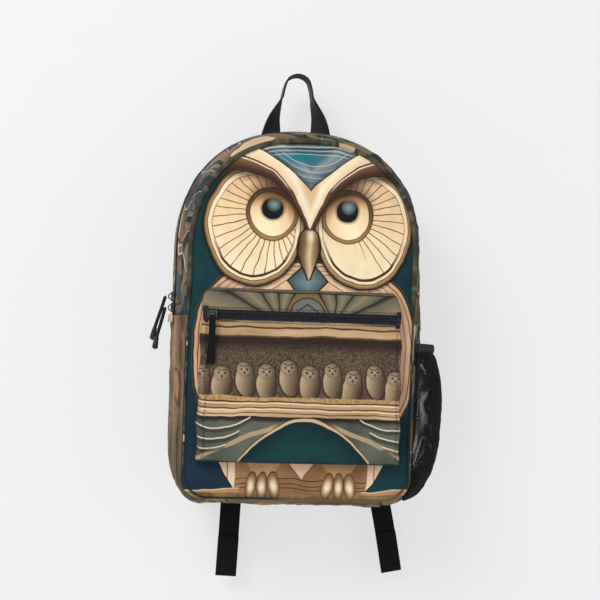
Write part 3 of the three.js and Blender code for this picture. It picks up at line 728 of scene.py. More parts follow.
    # below the pocket: belly, wing tips, legs, claws and the ledge
    low = z.under(-450, 1)
    belly = tone.dyed((0.3, dye(118, 84, 54)), (0.7, dye(164, 124, 84)))
    wing = ax + (z + 483) * -0.65
    colour = colour.lay(low * wing.under(79), tone.dyed((0.3, dye(214, 172, 140)), (0.7, dye(238, 210, 180))))
    colour = colour.lay(low * wing.line(79, 0.9), dye(30, 24, 22))
    colour = colour.lay(low * wing.under(79) * ax.line(83, 0.5), BROWN_LINE)
    colour = colour.lay(low * ax.under(75, 1), belly)
    notch = abs(x) * 1.25 - z
    colour = colour.lay(low * notch.under(477, 1), PEACH)
    colour = colour.lay(low * notch.line(477, 0.6), BROWN_LINE)
    leg = abs(ax - 43) + (z + 462) * -0.6
    colour = colour.lay(low * leg.under(17, 1.2) * z.over(-473, 2),
                        tone.dyed((0.3, dye(160, 122, 82)), (0.8, dye(200, 160, 112))))
    for level in (-477, -483, -487.5):
        colour = colour.lay((z + (x * 0.12).math("SINE") * 0.9).line(level, 0.5)
                            * ax.under(74, 2), BROWN_LINE)
    ledge_wave = z + (x * 0.035).math("SINE") * 2.4
    colour = colour.lay(ledge_wave.under(-489, 0.8) * ax.over(70, 4) * z.over(-493, 1), dye(178, 136, 96))
    colour = colour.lay(ledge_wave.line(-488.6, 0.5) * ax.over(70, 4), dye(232, 206, 170))
    ledge = grainy.dyed((0.3, dye(108, 82, 50)), (0.7, dye(160, 130, 88)))
    colour = colour.lay(z.under(-493.5, 1), ledge)
    toe_low = (z * -1 - 484).math("MAXIMUM", -20)
    for place in (30.5, 43.5, 56.5):
        splay = ax - place - toe_low * (place - 43.5) * 0.008
        claw = length_of(splay / (6.0 - toe_low * 0.03), (z + 484.5) / 15.5)
        colour = colour.lay(claw.under(1.08, 0.1), dye(66, 42, 28))
        tip = (toe_low * 0.03 + 0.5).dyed((0.0, dye(150, 112, 74)), (0.25, dye(206, 170, 122)),
                                          (0.55, dye(246, 226, 190)), (1.0, dye(196, 158, 112)))
        tip = tip.lay(claw.over(0.55, 0.5) * 0.9, dye(128, 92, 60))
        colour = colour.lay(claw.under(0.97, 0.1), tip)
    return canvas(flow, colour, vector)


owl_print = material("owl_print", face_print, sheen=0.03, specular=0.15)
front = formed("front_panel", 130, 150, panel_place)
face_from(front, 0, 0, -290)
creased(front, 1.6, 46, 2, panel_hold, (1, 1, 0.6))
creased(front, 0.6, 14, 4, panel_hold)
given(front, "SOLIDIFY", thickness=0.0012, offset=-1, material_offset=1)
finished(front, [owl_print, lining], "printed_cloth", None, "front_panel_top", "front_panel_bottom")
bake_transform(front)


# ------------------------------------------------------------------ front piping
# A cord wrapped in printed cloth and caught in the front seam, so the arch keeps its line.
def tube(name, line, radius, sides=10, closed=False, reference=(0, 1, 0), tapered=False, thinner=None):
    """A round cord along a line in mm, closed at its ends or on itself."""
    ahead = np.gradient(line, axis=0)
    if closed:
        ahead[0] = ahead[-1] = line[1] - line[-2]
    ahead /= np.linalg.norm(ahead, axis=1)[:, None]
    first = np.cross(ahead, reference)
    first /= np.linalg.norm(first, axis=1)[:, None]
    second = np.cross(ahead, first)
    run = run_of(line)
    last = len(line) - 1

    def place(u, v):
        at = np.rint(v * last).astype(int)
        turn = u * 2 * math.pi
        size = np.full(len(u), float(radius))
        if not closed:
            size[(at == 0) | (at == last)] = 0
        if tapered:
            size *= 1 - 0.35 * v
        if thinner is not None:
            size *= thinner[at]
        spot = line[at] + (first[at] * np.cos(turn)[:, None] + second[at]
                           * np.sin(turn)[:, None]) * size[:, None]
        return spot[:, 0], spot[:, 1], spot[:, 2], u * 2 * math.pi * radius, run[at]
    piece = formed(name, sides, last, place)
    only(piece)
    bpy.ops.object.mode_set(mode="EDIT")
    bpy.ops.mesh.select_all(action="SELECT")
    bpy.ops.mesh.normals_make_consistent(inside=False)
    bpy.ops.object.mode_set(mode="OBJECT")
    return piece


def piping_cloth(flow):
    vector = own_map(flow)
    _, along, _ = parts_of(flow, vector)
    drift = vector.spots(17, 2, 0.5, (0.2, 1, 1))
    colour = drift.dyed((0.36, dye(44, 44, 36)), (0.45, dye(84, 80, 62)), (0.51, dye(54, 54, 46)),
                        (0.57, dye(102, 92, 70)), (0.59, dye(60, 54, 44)), (0.635, dye(56, 50, 40)),
                        (0.64, dye(188, 160, 120)), (0.68, dye(200, 176, 138)))
    low = along.under(0.25, 0.02) + along.over(ROUND / 1000 - 0.25, 0.02)
    colour = colour.lay(low, dye(20, 46, 54))
    base = along.under(0.125, 0.02) + along.over(ROUND / 1000 - 0.125, 0.02)
    colour = colour.lay(base, dye(112, 84, 54))
    return canvas(flow, colour, vector)


PIPING_Y = -129.8
PIPING_RADIUS = 2.9
piping_coat = material("piping_cloth", piping_cloth, sheen=0.03, specular=0.15)
spread = np.linspace(0, ROUND, 300)
ring_x, ring_z = on_side(spread, np.full(300, FRONT_EDGE + 0.0))
piping_line = np.stack((ring_x * 0.995, np.full(300, PIPING_Y), ring_z), 1)
piping_line[-1] = piping_line[0]
slim = 1 - 0.6 * np.clip((-268 - piping_line[:, 2]) / 24, 0, 1)
piping = tube("front_piping", piping_line, PIPING_RADIUS, 10, closed=True, thinner=slim)
finished(piping, piping_coat, "olive_cloth", None, "front_piping_top", "front_piping_bottom")
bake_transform(piping)


# ------------------------------------------------------------------ front pocket
# A flat patch pocket of the same canvas, sewn to the front panel, with a short sloping lid above its zip.
# Its sides and base are folded in; dark lockstitch runs down both sides and along the lid's top edge.
POCKET_TOP = -262
POCKET_ZIP = -292
TAPE_HALF = 8


def pocket_half(z):
    """Half the pocket's width at a height: narrower, with rounded corners, at the lid's top edge."""
    lid = np.clip((z + 284) / 22, 0, 1)
    return 113.6 + np.clip((-300 - z) / 150, 0,
                           1) * 1.2 - 4 * lid - 6 * lid**5 + 0.9 * np.sin(z / 7.5) * (z < -296)


def pocket_face(z):
    """The depth of the pocket's face at a height."""
    heights = [-458, -457, -454, -446, -425, -380, -330, -300, -284, -276, -268, POCKET_TOP]
    depths = [-136, -146, -152, -156, -157, -154.5, -149, -143.5, -143, -142, -139, -136.4]
    return np.interp(z, heights, depths)


def on_pocket(share, z, sunk=0.0):
    """A point on the pocket, from a share of -1 to 1 across it. Its sides turn in to the front panel."""
    side = np.clip((np.abs(share) - 0.93) / 0.07, 0, 1) * math.pi / 2
    half = pocket_half(z)
    x = np.sign(share) * half * np.where(np.abs(share) < 0.93, np.abs(share) * 0.965 / 0.93,
                                         0.965 + 0.035 * np.sin(side))
    floor = on_panel(x, z) - 0.8
    crown = 3.2 * (1 - share**2) * np.clip((-298 - z) / 40, 0, 1) * np.clip((z + 456) / 18, 0, 1)
    face = pocket_face(z) - crown + sunk
    return x, np.minimum(floor + (face - floor) * np.cos(side) ** 0.7, floor)


def pocket_print(flow):
    vector, x, z, ax = mirrored(flow)
    tone = vector.spots(20, 3, 0.55)
    grain = vector.spots(70, 3, 0.6, (0.1, 1, 1))
    # lid: carved ribs fanning out from two low centres and a small arch
    ribs_x = ax - 30
    ribs_z = z + 300
    fan_turn = ribs_z.math("ARCTAN2", ribs_x)
    fan_rib = (fan_turn * 4).math("PINGPONG", 1)
    colour = (fan_rib + tone * 0.2 - 0.1).dyed((0.0, dye(58, 52, 42)), (0.3, dye(104, 98, 80)),
                                               (0.75, dye(122, 112, 90)), (1.0, dye(142, 122, 94)))
    arch = length_of(x / 19, (z + 290) / 20)
    colour = colour.lay(arch.under(1.25, 0.1), dye(120, 98, 66))
    colour = colour.lay(arch.under(1.0, 0.08), dye(112, 110, 104))
    colour = colour.lay(arch.line(1.0, 0.04, 0.05), dye(50, 42, 32))
    colour = colour.lay(fan_rib.under(0.1, 0.12), dye(48, 42, 34))
    colour = colour.lay(z.over(-264.5, 1.2), dye(92, 84, 66))
    colour = colour.lay(z.line(-265, 0.5), dye(40, 36, 30))
    # mouldings under the zip
    wood_tone = grain.dyed((0.3, dye(160, 126, 90)), (0.6, dye(194, 162, 122)), (0.8, dye(220, 194, 156)))
    colour = colour.lay(z.under(-299, 1), dye(176, 144, 106))
    colour = colour.lay(z.under(-304, 1), dye(70, 46, 34))
    colour = colour.lay(z.under(-306, 1), wood_tone)
    colour = colour.lay(z.under(-314, 1), dye(96, 70, 46))
    colour = colour.lay(z.under(-316, 1), dye(50, 34, 30))
    # frieze: a row of small carved owls in a stippled hollow
    stipple = vector.make("TexVoronoi", {}, {"Vector": vector, "Scale": 520.0})
    hollow = (stipple * 1.1 + tone * 0.3 - 0.1).dyed((0.0, dye(126, 108, 86)), (0.5, dye(92, 76, 60)),
                                                     (1.0, dye(62, 50, 40)))
    colour = colour.lay(z.under(-323.5, 1.5) * z.over(-383, 2), hollow)
    colour = colour.lay(z.under(-316, 1) * z.over(-329, 8) * 0.8, dye(50, 34, 30))
    pitch = 24.5
    cell = ((x + 400) / pitch).math("FLOOR")
    chance = flow.make("TexWhiteNoise", {"noise_dimensions": "1D"}, {"W": cell})
    bird_x = (x + 400) - cell * pitch - pitch / 2 - chance * 3 + 1.5
    bird_z = z + 365 - chance * 9 + 3
    lean = bird_x + (chance - 0.5) * bird_z * 0.22
    trunk = length_of(lean / 11.4, (bird_z + 4) / 17)
    head = length_of(lean / 9.2, (bird_z - 9) / 8.4)
    in_frieze = z.over(-383.5, 1) * z.under(-322, 1)
    plume = (bird_x * 0.9 + bird_z * 0.3).math("PINGPONG", 1)
    feather = (plume * 0.25 + lean * -0.05 + bird_z * 0.012 + 0.42).dyed((0.0, dye(66, 52, 40)),
            (0.45, dye(128, 106, 82)), (0.8, dye(164, 140, 110)), (1.0, dye(182, 158, 126)))
    both = trunk.math("MINIMUM", head)
    colour = colour.lay(both.under(1.14, 0.12) * in_frieze, dye(58, 44, 34))
    colour = colour.lay(trunk.under(0.98, 0.1) * in_frieze, feather)
    face = (head * 0.7 + lean * 0.04 + 0.1).dyed((0.0, dye(178, 156, 126)), (1.0, dye(98, 80, 62)))
    colour = colour.lay(head.under(1.0, 0.12) * in_frieze, face)
    bird_ax = abs(lean)
    eye = length_of(bird_ax - 3.2, bird_z - 9.6)
    brow_line = bird_z - 12 - bird_ax * 0.32
    colour = colour.lay(head.under(0.85, 0.2) * brow_line.line(0, 0.55, 0.7) * in_frieze, dye(66, 50, 38))
    colour = colour.lay(eye.under(1.5, 0.9) * in_frieze * 0.85, dye(48, 36, 28))
    colour = colour.lay((bird_ax * 1.6 + abs(bird_z - 6)).under(2.4, 0.8) * in_frieze, dye(78, 60, 46))
    # ledge and mouldings under the frieze
    colour = colour.lay(z.under(-382, 1), vector.spots(300, 2).dyed((0.3, dye(150, 112, 70)),
            (0.7, dye(196, 160, 112))))
    colour = colour.lay(z.under(-388, 1), wood_tone)
    waver = z + (x * 0.05).math("SINE") * 0.7
    for level, half in ((-387.5, 0.7), (-394.5, 0.6), (-400.5, 0.5)):
        colour = colour.lay(waver.line(level, half), dye(66, 42, 32))
    colour = colour.lay(waver.line(-389.5, 0.7), dye(232, 208, 172))
    colour = colour.lay(waver.line(-396.6, 0.6), dye(232, 208, 172))
    # grey-green swags with cream edges, parted by a dark arch
    low = z.under(-404, 0.8)
    swag = tone.dyed((0.25, dye(64, 70, 62)), (0.75, dye(104, 106, 92)))
    colour = colour.lay(low, swag)
    colour = colour.lay(z.under(-404, 0.8) * z.over(-409, 4), dye(44, 36, 32))
    dome = ax * ax * (-41 / (68 * 68)) - 408.5
    for drop, half, light in ((11, 0.8, dye(214, 196, 162)), (7.5, 2.6, dye(170, 150, 118))):
        fall = z + ax * 0.42 + (ax - 60) * (ax - 60) * 0.0012
        colour = colour.lay(low * (fall + 383 + drop * 0.5).line(-12, half, 0.9) * ax.over(34, 8), light)
    for level, heart, start in ((-417, 99, 62), (-429, 106, 74), (-440.5, 112, 88)):
        loop = z - level - (ax - heart) * (ax - heart) * 0.0085
        colour = colour.lay(low * loop.line(0, 0.75) * ax.over(start, 2), dye(224, 210, 182))
        colour = colour.lay(low * loop.line(-3, 2, 2.5) * ax.over(start, 3) * 0.7, dye(40, 44, 42))
    colour = colour.lay(low * (z - dome).under(4.2, 0.8) * ax.under(72, 2), dye(46, 38, 32))
    colour = colour.lay(low * (z - dome).under(3.2, 0.8) * ax.under(74, 2), dye(204, 172, 140))
    arch_dark = ((z - dome) * -0.03 + tone * 0.2).dyed((0.0, dye(12, 36, 40)), (1.0, dye(18, 62, 64)))
    colour = colour.lay(low * (z - dome).under(0, 0.8), arch_dark)
    colour = colour.lay((z * -1).over(455, 1.5), dye(14, 40, 44))
    return canvas(flow, colour, vector)


pocket_coat = material("pocket_print", pocket_print, sheen=0.03, specular=0.15)


def pocket_sheet(name, heights, columns, rows, seed):
    def place(u, v):
        z = heights[0] + v * (heights[1] - heights[0])
        x, y = on_pocket(u * 2 - 1, z)
        edge = np.abs(u * 2 - 1) ** 6
        y = y - 1.1 * edge * np.sin(z / 6.2 + u * 3)
        return x, y, z, x, z
    piece = formed(name, columns, rows, place)
    face_from(piece, 0, -60, -370)
    top, low = heights

    def seams(spots):
        gap = np.minimum(top - spots[:, 2], spots[:, 2] - low)
        return np.clip(gap / 10, 0.1, 1)
    creased(piece, 1.5, 30, seed, seams)
    creased(piece, 0.5, 9, seed + 3, seams)
    given(piece, "SOLIDIFY", thickness=0.0012, offset=-1, material_offset=1)
    return piece


lid = pocket_sheet("pocket_lid", (POCKET_TOP, POCKET_ZIP + TAPE_HALF - 2.5), 130, 16, 41)
finished(lid, [pocket_coat, lining], "printed_cloth", "bag", "pocket_top_panel")
pouch = pocket_sheet("pocket_front", (POCKET_ZIP - TAPE_HALF + 2.5, -458), 150, 100, 45)
finished(pouch, [pocket_coat, lining], "printed_cloth", "bag",
         "pocket_front", "pocket_side_left", "pocket_side_right", "pocket_base")


def thread_coat(dark, light):
    def paint(flow):
        shade = (object_place(flow).spots(900)).dyed((0.3, dark), (0.7, light))
        return {"Base Color": shade}
    return paint


dark_thread = material("dark_thread", thread_coat(dye(20, 16, 16), dye(44, 36, 34)), roughness=0.6,
                       specular=0.15)


def model_of(name):
    """The points and faces of a small piece, which is then removed."""
    piece = bpy.data.objects[name]
    spots = np.array([point.co for point in piece.data.vertices])
    faces = [list(face.vertices) for face in piece.data.polygons]
    mesh = piece.data
    bpy.data.objects.remove(piece)
    bpy.data.meshes.remove(mesh)
    return spots, faces


def repeated(name, model, spots, ahead, outward):
    """Copies of a small shape along a line, in one mesh. The shape runs along X with its top along Z."""
    ahead = ahead / np.linalg.norm(ahead, axis=1)[:, None]
    across = np.cross(outward, ahead)
    across /= np.linalg.norm(across, axis=1)[:, None]
    outward = np.cross(ahead, across)
    points, faces = model
    count = len(points)
    every = (spots[:, None, :] + points[None, :, 0:1] * ahead[:, None] + points[None, :, 1:2]
             * across[:, None] + points[None, :, 2:3] * outward[:, None])
    mesh = bpy.data.meshes.new(name)
    all_faces = [[corner + copy * count for corner in face] for copy in range(len(spots)) for face in faces]
    mesh.from_pydata((every.reshape(-1, 3) / 1000).tolist(), [], all_faces)
    mesh.polygons.foreach_set("use_smooth", [True] * len(mesh.polygons))
    piece = bpy.data.objects.new(name, mesh)
    bpy.context.scene.collection.objects.link(piece)
    return piece


def stitch_model(long, radius):
    """One stitch: a short thread, pinched where it goes into the cloth."""
    bpy.ops.object.select_all(action="DESELECT")
    bpy.ops.mesh.primitive_uv_sphere_add(segments=6, ring_count=4, radius=1)
    stitch = bpy.context.object
    stitch.name = "stitch"
    for point in stitch.data.vertices:
        point.co = (point.co.z * long / 2, point.co.x * radius, point.co.y * radius)
    return model_of("stitch")


STITCH = stitch_model(3.0, 0.42)


def between(line, run, places):
    """The points of a line at these distances along it."""
    return np.stack([np.interp(places, run, line[:, i]) for i in range(3)], 1)


def stitched(name, line, outward, pitch=4.0, coat=None, slot="black_cloth", body="bag"):
    """A row of lockstitch along a line in mm."""
    line = np.array(line, float)
    run = run_of(line)
    even = np.arange(pitch / 2, run[-1], pitch)
    spots = between(line, run, even)
    ahead = between(line, run, even + 1) - between(line, run, even - 1)
    piece = repeated(name, STITCH, spots, ahead, np.array(outward, float) * np.ones((len(spots), 1)))
    finished(piece, coat or dark_thread, slot, body)
    return piece


down_z = np.linspace(POCKET_ZIP - TAPE_HALF - 2, -452, 80)
for side, turn in (("left", -1), ("right", 1)):
    edge_x, edge_y = on_pocket(np.full(80, turn * 0.91), down_z)
    stitched("pocket_stitch_" + side, np.stack((edge_x, edge_y - 0.5, down_z), 1), (0, -1, 0))
across = np.linspace(-0.93, 0.93, 120)
for name, z in (("lid", POCKET_TOP - 3.5), ("lid_low", POCKET_ZIP + TAPE_HALF - 0.2),
                ("under_zip", POCKET_ZIP - TAPE_HALF + 0.2)):
    edge_x, edge_y = on_pocket(across, np.full(120, float(z)))
    stitched("pocket_stitch_" + name, np.stack((edge_x, edge_y - 0.7, np.full(120, float(z))), 1), (0, -1, 0))


# ------------------------------------------------------------------ zips
# Two coil zips on charcoal tape: one over the arch from side to side, one across the pocket.
# The tape edges are sewn under the canvas; the coils stand just proud of the cloth.
def tape_weave(flow):
    vector = object_place(flow)
    threads = vector.spots(1300, 2)
    shade = threads.dyed((0.3, dye(20, 21, 27)), (0.7, dye(50, 50, 58)))
    return {"Base Color": shade, "Normal": bumped(flow, threads, 0.5, 0.0004)}


def nylon(flow):
    wear = object_place(flow).spots(500, 2)
    shade = wear.dyed((0.3, dye(20, 20, 24)), (0.7, dye(46, 46, 52)))
    return {"Base Color": shade, "Roughness": wear * 0.3 + 0.3}


zip_tape = material("zip_tape", tape_weave, roughness=0.8, specular=0.15)
coil_nylon = material("coil_nylon", nylon, roughness=0.45, specular=0.3)
TEETH_PITCH = 2.1


def tooth_model(along, across, tall):
    """One turn of the coil: a flattened bead with a rounded top."""
    bpy.ops.object.select_all(action="DESELECT")
    bpy.ops.mesh.primitive_cube_add(size=1)
    tooth = bpy.context.object
    tooth.name = "tooth"
    for point in tooth.data.vertices:
        point.co = (point.co.x * along, point.co.y * across, point.co.z * tall)
    given(tooth, "BEVEL", width=min(along, tall) * 0.35, segments=1)
    return model_of("tooth")


def coil(name, line, outward, model):
    run = run_of(line)
    even = np.arange(0, run[-1], TEETH_PITCH)
    spots = between(line, run, even)
    ahead = between(line, run, even + 1) - between(line, run, even - 1)
    return repeated(name, model, spots, ahead, between(outward, run, even))


def flat_tape(name, depths, proud):
    def place(u, v):
        run = HIGH_RUN + u * (ROUND - 2 * HIGH_RUN)
        y = depths[0] + v * (depths[1] - depths[0])
        x, z = on_side(run, y, proud)
        return x, y, z, run, y
    tape = formed(name, 220, 4, place)
    face_from(tape, 0, -70, -290)
    return given(tape, "SOLIDIFY", thickness=0.0008, offset=-1)


rear_tape = flat_tape("main_zip_rear_tape", (-63.5, -74.9), -0.9)
finished(rear_tape, zip_tape, "zip_tape", "bag", "main_zip_rear_tape")
front_tape = flat_tape("main_zip_front_tape", (-75.1, -86.5), -0.9)
finished(front_tape, zip_tape, "zip_tape", None, "main_zip_front_tape", "main_zip_foot_left",
         "main_zip_foot_right")
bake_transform(front_tape)
TOOTH = tooth_model(1.25, 2.9, 1.5)
zip_runs = np.linspace(HIGH_RUN, ROUND - HIGH_RUN, 400)
for place, depth in (("rear", -73.6), ("front", -76.6)):
    low_x, low_z = on_side(zip_runs, np.full(400, depth), 0.1)
    out_x, out_z = on_side(zip_runs, np.full(400, depth), 3.0)
    line = np.stack((low_x, np.full(400, depth), low_z), 1)
    row = coil("main_zip_" + place + "_coil", line,
               np.stack((out_x - low_x, 0 * low_x, out_z - low_z), 1), TOOTH)
    if place == "rear":
        finished(row, coil_nylon, "zip_tape", "bag", "main_zip_rear_coil")
    else:
        finished(row, coil_nylon, "zip_tape", None, "main_zip_front_coil")
        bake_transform(row)
for side, turn in (("left", -1), ("right", 1)):
    def patch_place(u, v, turn=turn):
        run = HIGH_RUN - 8 + v * 10
        y = -62 - u * 27
        x, z = on_side(run, y, 0.9 + 0.7 * np.sin(u * math.pi))
        return turn * x, y, z, run + 40, y
    patch = formed("main_zip_end_patch_" + side, 16, 8, patch_place)
    face_from(patch, 0, -75, -300)
    given(patch, "SOLIDIFY", thickness=0.0012, offset=-1)
    finished(patch, scraps, "printed_cloth", "bag", "main_zip_end_patch_" + side)


def pocket_strip(name, heights, shares, sunk, coat, slot, nodes, columns=90, rows=4):
    def place(u, v):
        z = heights[0] + v * (heights[1] - heights[0])
        x, y = on_pocket(shares[0] + u * (shares[1] - shares[0]), z, sunk)
        return x, y, z, x, z
    piece = formed(name, columns, rows, place)
    face_from(piece, 0, -60, -290)
    given(piece, "SOLIDIFY", thickness=0.0009, offset=-1)
    return finished(piece, coat, slot, "bag", *nodes)


pocket_strip("pocket_zip_upper_tape", (-280, POCKET_ZIP + 0.2), (-0.93, 0.93), 1.5, zip_tape, "zip_tape",
             ["pocket_zip_upper_tape"])
pocket_strip("pocket_zip_lower_tape", (POCKET_ZIP - 0.2, -304), (-0.93, 0.93), 1.5, zip_tape, "zip_tape",
             ["pocket_zip_lower_tape"])
for side, turn in (("left", -1), ("right", 1)):
    pocket_strip("pocket_zip_end_patch_" + side, (-283, -301.5), (turn * 0.905, turn * 0.965), -0.9, zip_tape,
                 "zip_tape", ["pocket_zip_end_patch_" + side], 10, 10)
SMALL_TOOTH = tooth_model(1.25, 2.6, 1.3)
zip_shares = np.linspace(-0.91, 0.91, 200)
for place, height in (("upper", POCKET_ZIP + 1.35), ("lower", POCKET_ZIP - 1.35)):
    edge_x, edge_y = on_pocket(zip_shares, np.full(200, height), 0.6)
    line = np.stack((edge_x, edge_y, np.full(200, height)), 1)
    row = coil("pocket_zip_" + place + "_coil", line, np.array((0, -1.0, 0)) * np.ones((200, 1)), SMALL_TOOTH)
    finished(row, coil_nylon, "zip_tape", "bag", "pocket_zip_" + place + "_coil")


def worn_metal(flow):
    wear = object_place(flow).spots(260, 3)
    shade = wear.dyed((0.3, dye(52, 52, 56)), (0.75, dye(120, 118, 116)))
    return {"Base Color": shade, "Roughness": wear * 0.35 + 0.2, "Normal": bumped(flow, wear, 0.15, 0.0003)}


gunmetal = material("gunmetal", worn_metal, roughness=0.35, metallic=1.0)
for name in ("main_slider_lower", "main_slider_upper", "pocket_slider"):
    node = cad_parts[name]
    node.data.materials.clear()
    node.data.materials.append(gunmetal)


def braid(flow):
    across, along, _ = parts_of(flow, own_map(flow))
    twist = (along * 4200 + across * 3000).math("SINE")
    # The colour follows the strands: painted shade in the grooves between them and a painted highlight on
    # their crests.
    shade = (twist * 0.4 + 0.5).dyed((0.2, dye(14, 14, 16)), (0.8, dye(44, 43, 46)))
    return {"Base Color": shade, "Normal": bumped(flow, twist, 0.6, 0.0005)}


braided = material("braided_cord", braid, roughness=0.7, specular=0.2)
PULLER_X = -153.0
PULLER_Y = -75
for place, side, z, reach, fall in (("lower", -1, -287, 11, 49), ("upper", 1, -274, 14, 52)):
    start = np.array((PULLER_X, PULLER_Y + side * 2.5, z + 1))
    route = [start, start + (-reach * 0.35, side, -fall * 0.3 - 1),
             start + (-reach * 0.8, side * 2.5, -fall * 0.7 - 1), start + (-reach, side * 3.5, -fall - 1)]
    line = join_up(route, 26)
    pull = tube("main_puller_" + place, line, 2.0, 8)
    finished(pull, braided, "black_cloth", "main_puller_" + place, "main_puller_" + place)
    tip = tube("puller_tip_" + place, line[-9:][::-1], 3.7, 10, tapered=True)
    finished(tip, coil_nylon, "black_plastic", "main_puller_" + place)
flap = [(-102, -152.2, -293), (-102, -153.4, -312), (-102.4, -154.0, -330), (-102.8, -154.4, -347)]
pull_line = join_up(flap, 20)
pull = strip("pocket_puller", pull_line, (1, 0, 0), 7.4, 1.9)
finished(pull, black_webbing, "webbing", "pocket_puller", "pocket_puller")
pull_hem = strip("pocket_puller_fold", join_up(pull_line[-7:] - np.array((0, 0.9, 0)), 8), (1, 0, 0), 9.2,
                 2.0)
finished(pull_hem, black_webbing, "webbing", "pocket_puller")


# ------------------------------------------------------------------ net side pocket
# Knotless black netting over the right side, open at the top, gathered on an elastic binding.
NET_TOP = -331
NET_DEPTHS = (-122, -3)
NET_SPAN = NET_DEPTHS[1] - NET_DEPTHS[0]
NET_YARN = 0.0014
net_high = run_at(NET_TOP)
net_low = run_at(BASE + CORNER) - 26


def net_proud(across, down):
    """How far the net stands off the side cloth."""
    fullness = 0.42 + 0.58 * np.sin(math.pi * np.minimum(1, 0.98 * down)) ** 0.8
    closing = np.where(down > 0.6, np.cos(np.clip((down - 0.6) / 0.4, 0, 1) * math.pi / 2), 1)
    return 2 + 30 * np.sin(math.pi * across) ** 0.7 * np.minimum(fullness, 0.02 + closing)


def net_place(u, v):
    run = net_low + v * (net_high - net_low)
    y = NET_DEPTHS[0] + u * NET_SPAN
    x, z = on_side(run, y, net_proud(u, 1 - v))
    return x, y, z, run, y


def net_yarn(flow):
    wear = object_place(flow).spots(1200, 2)
    shade = wear.dyed((0.3, dye(12, 12, 13)), (0.7, dye(36, 35, 37)))
    return {"Base Color": shade, "Normal": bumped(flow, wear, 0.4, 0.0003)}


netting = material("net_yarn", net_yarn, roughness=0.6, specular=0.2)
net = formed("mesh_pocket", 46, 66, net_place)
face_from(net, 0, -60, -400)
creased(net, 2.0, 30, 51, lambda spots: np.clip((spots[:, 0] - 132) / 20, 0, 1))
corners = len(net.data.vertices)
only(net)
bpy.ops.object.mode_set(mode="EDIT")
bpy.ops.mesh.select_all(action="SELECT")
bpy.ops.mesh.poke()
bpy.ops.mesh.select_all(action="DESELECT")
bpy.ops.mesh.select_mode(type="EDGE")
bpy.ops.object.mode_set(mode="OBJECT")
sides_of = {}
for face in net.data.polygons:
    for key in face.edge_keys:
        sides_of[key] = sides_of.get(key, 0) + 1
for edge in net.data.edges:
    edge.select = edge.vertices[0] < corners and edge.vertices[1] < corners and sides_of[edge.key] > 1
bpy.ops.object.mode_set(mode="EDIT")
bpy.ops.mesh.dissolve_edges(use_verts=False)
bpy.ops.mesh.select_mode(type="VERT")
bpy.ops.object.mode_set(mode="OBJECT")
given(net, "WIREFRAME", thickness=NET_YARN, use_even_offset=False)
finished(net, netting, "netting", "bag", "mesh_pocket")
binding_u = np.linspace(0, 1, 120)
binding_x, binding_z = on_side(np.full(120, net_high + 1.0), NET_DEPTHS[0] + binding_u * NET_SPAN,
                               net_proud(binding_u, 0.0))
rim_line = np.stack((binding_x, NET_DEPTHS[0] + binding_u * NET_SPAN, binding_z + 4), 1)
rim_line[:, 0] += 0.7 * np.sin(binding_u * 95)


def rim_place(u, v):
    at = np.rint(v * 119).astype(int)
    turn = u * 2 * math.pi
    ruck = 1 + 0.16 * np.sin(binding_u[at] * 190)
    x = rim_line[at, 0] + 1.7 * np.cos(turn) * ruck
    z = rim_line[at, 2] + 5.2 * np.sin(turn)
    return x, rim_line[at, 1], z, u * 20, v * 130


rim = formed("mesh_pocket_elastic", 14, 119, rim_place)
only(rim)
bpy.ops.object.mode_set(mode="EDIT")
bpy.ops.mesh.select_all(action="SELECT")
bpy.ops.mesh.normals_make_consistent(inside=False)
bpy.ops.object.mode_set(mode="OBJECT")
grey_binding = material("net_binding", webbing_weave(dye(34, 33, 34), dye(84, 82, 82)), roughness=0.8,
                        specular=0.15)
finished(rim, grey_binding, "black_cloth", "bag", "mesh_pocket_elastic")


# ------------------------------------------------------------------ grab loop
# A loop of the same webbing, sewn into the top seam; it carries the whole bag on its hook.
half_loop = [(-31, 0, -79), (-30, 0, -68), (-27, 0, -50), (-19.2, 0, -29), (-16.2, 0, -15),
             (-11.46, 0, -3.54), (0, 0, 1.2)]
loop_line = join_up(half_loop + [(-x, y, z) for x, y, z in half_loop[-2::-1]], 81)
loop_share = np.linspace(0, 1, 81)
turned = np.clip(np.minimum(loop_share, 1 - loop_share) / 0.3, 0, 1) ** 0.75 * math.pi / 2
loop_breadth = np.stack((np.cos(turned), np.sin(turned) * np.where(loop_share < 0.5, 1, -1), 0 * turned), 1)
loop_breadth[:, 1] = np.abs(loop_breadth[:, 1])
loop_breadth[loop_share > 0.5, 0] *= -1
loop = strip("grab_loop", loop_line, loop_breadth, 25, 2.4)
loop_coat = material("loop_webbing", webbing_weave(dye(34, 35, 38), dye(66, 67, 71)), roughness=0.75,
                     specular=0.15)
finished(loop, loop_coat, "webbing", "grab_loop", "grab_loop")


# ------------------------------------------------------------------ back panel
# Foam behind black woven cloth, quilted in two columns, with a bound edge all round.
BACK_HALF = 138.5
BACK_TOP = -81.5
BACK_BASE = -508
PAD_GAP = 1.5


def half_at(z, half, top, base, corner):
    """Half the width of an arched panel at a height."""
    spring = SHOULDER - 1
    arch = np.clip((z - spring) / (top - spring), 0, 1)
    low = np.clip((base + corner - z) / corner, 0, 1)
    return half * (1 - arch**2.3) ** (1 / 2.3) - corner * (1 - np.sqrt(1 - low**2))


def arched(u, v, half, top, base, corner):
    """A point of an arched panel: its rows close up towards the top and the base."""
    low = base + corner
    spring = SHOULDER - 1
    part = v * 10
    z = np.where(part < 1, low - corner * np.cos(part.clip(0, 1) * math.pi / 2),
                 low + (part - 1) / 4.6 * (spring - low))
    turn = ((part - 5.6) / 4.4).clip(0, 1) * math.pi / 2
    z = np.where(part >= 5.6, spring + (top - spring) * np.sin(turn) ** CURVE, z)
    return (u * 2 - 1) * half_at(z, half, top, base, corner), z


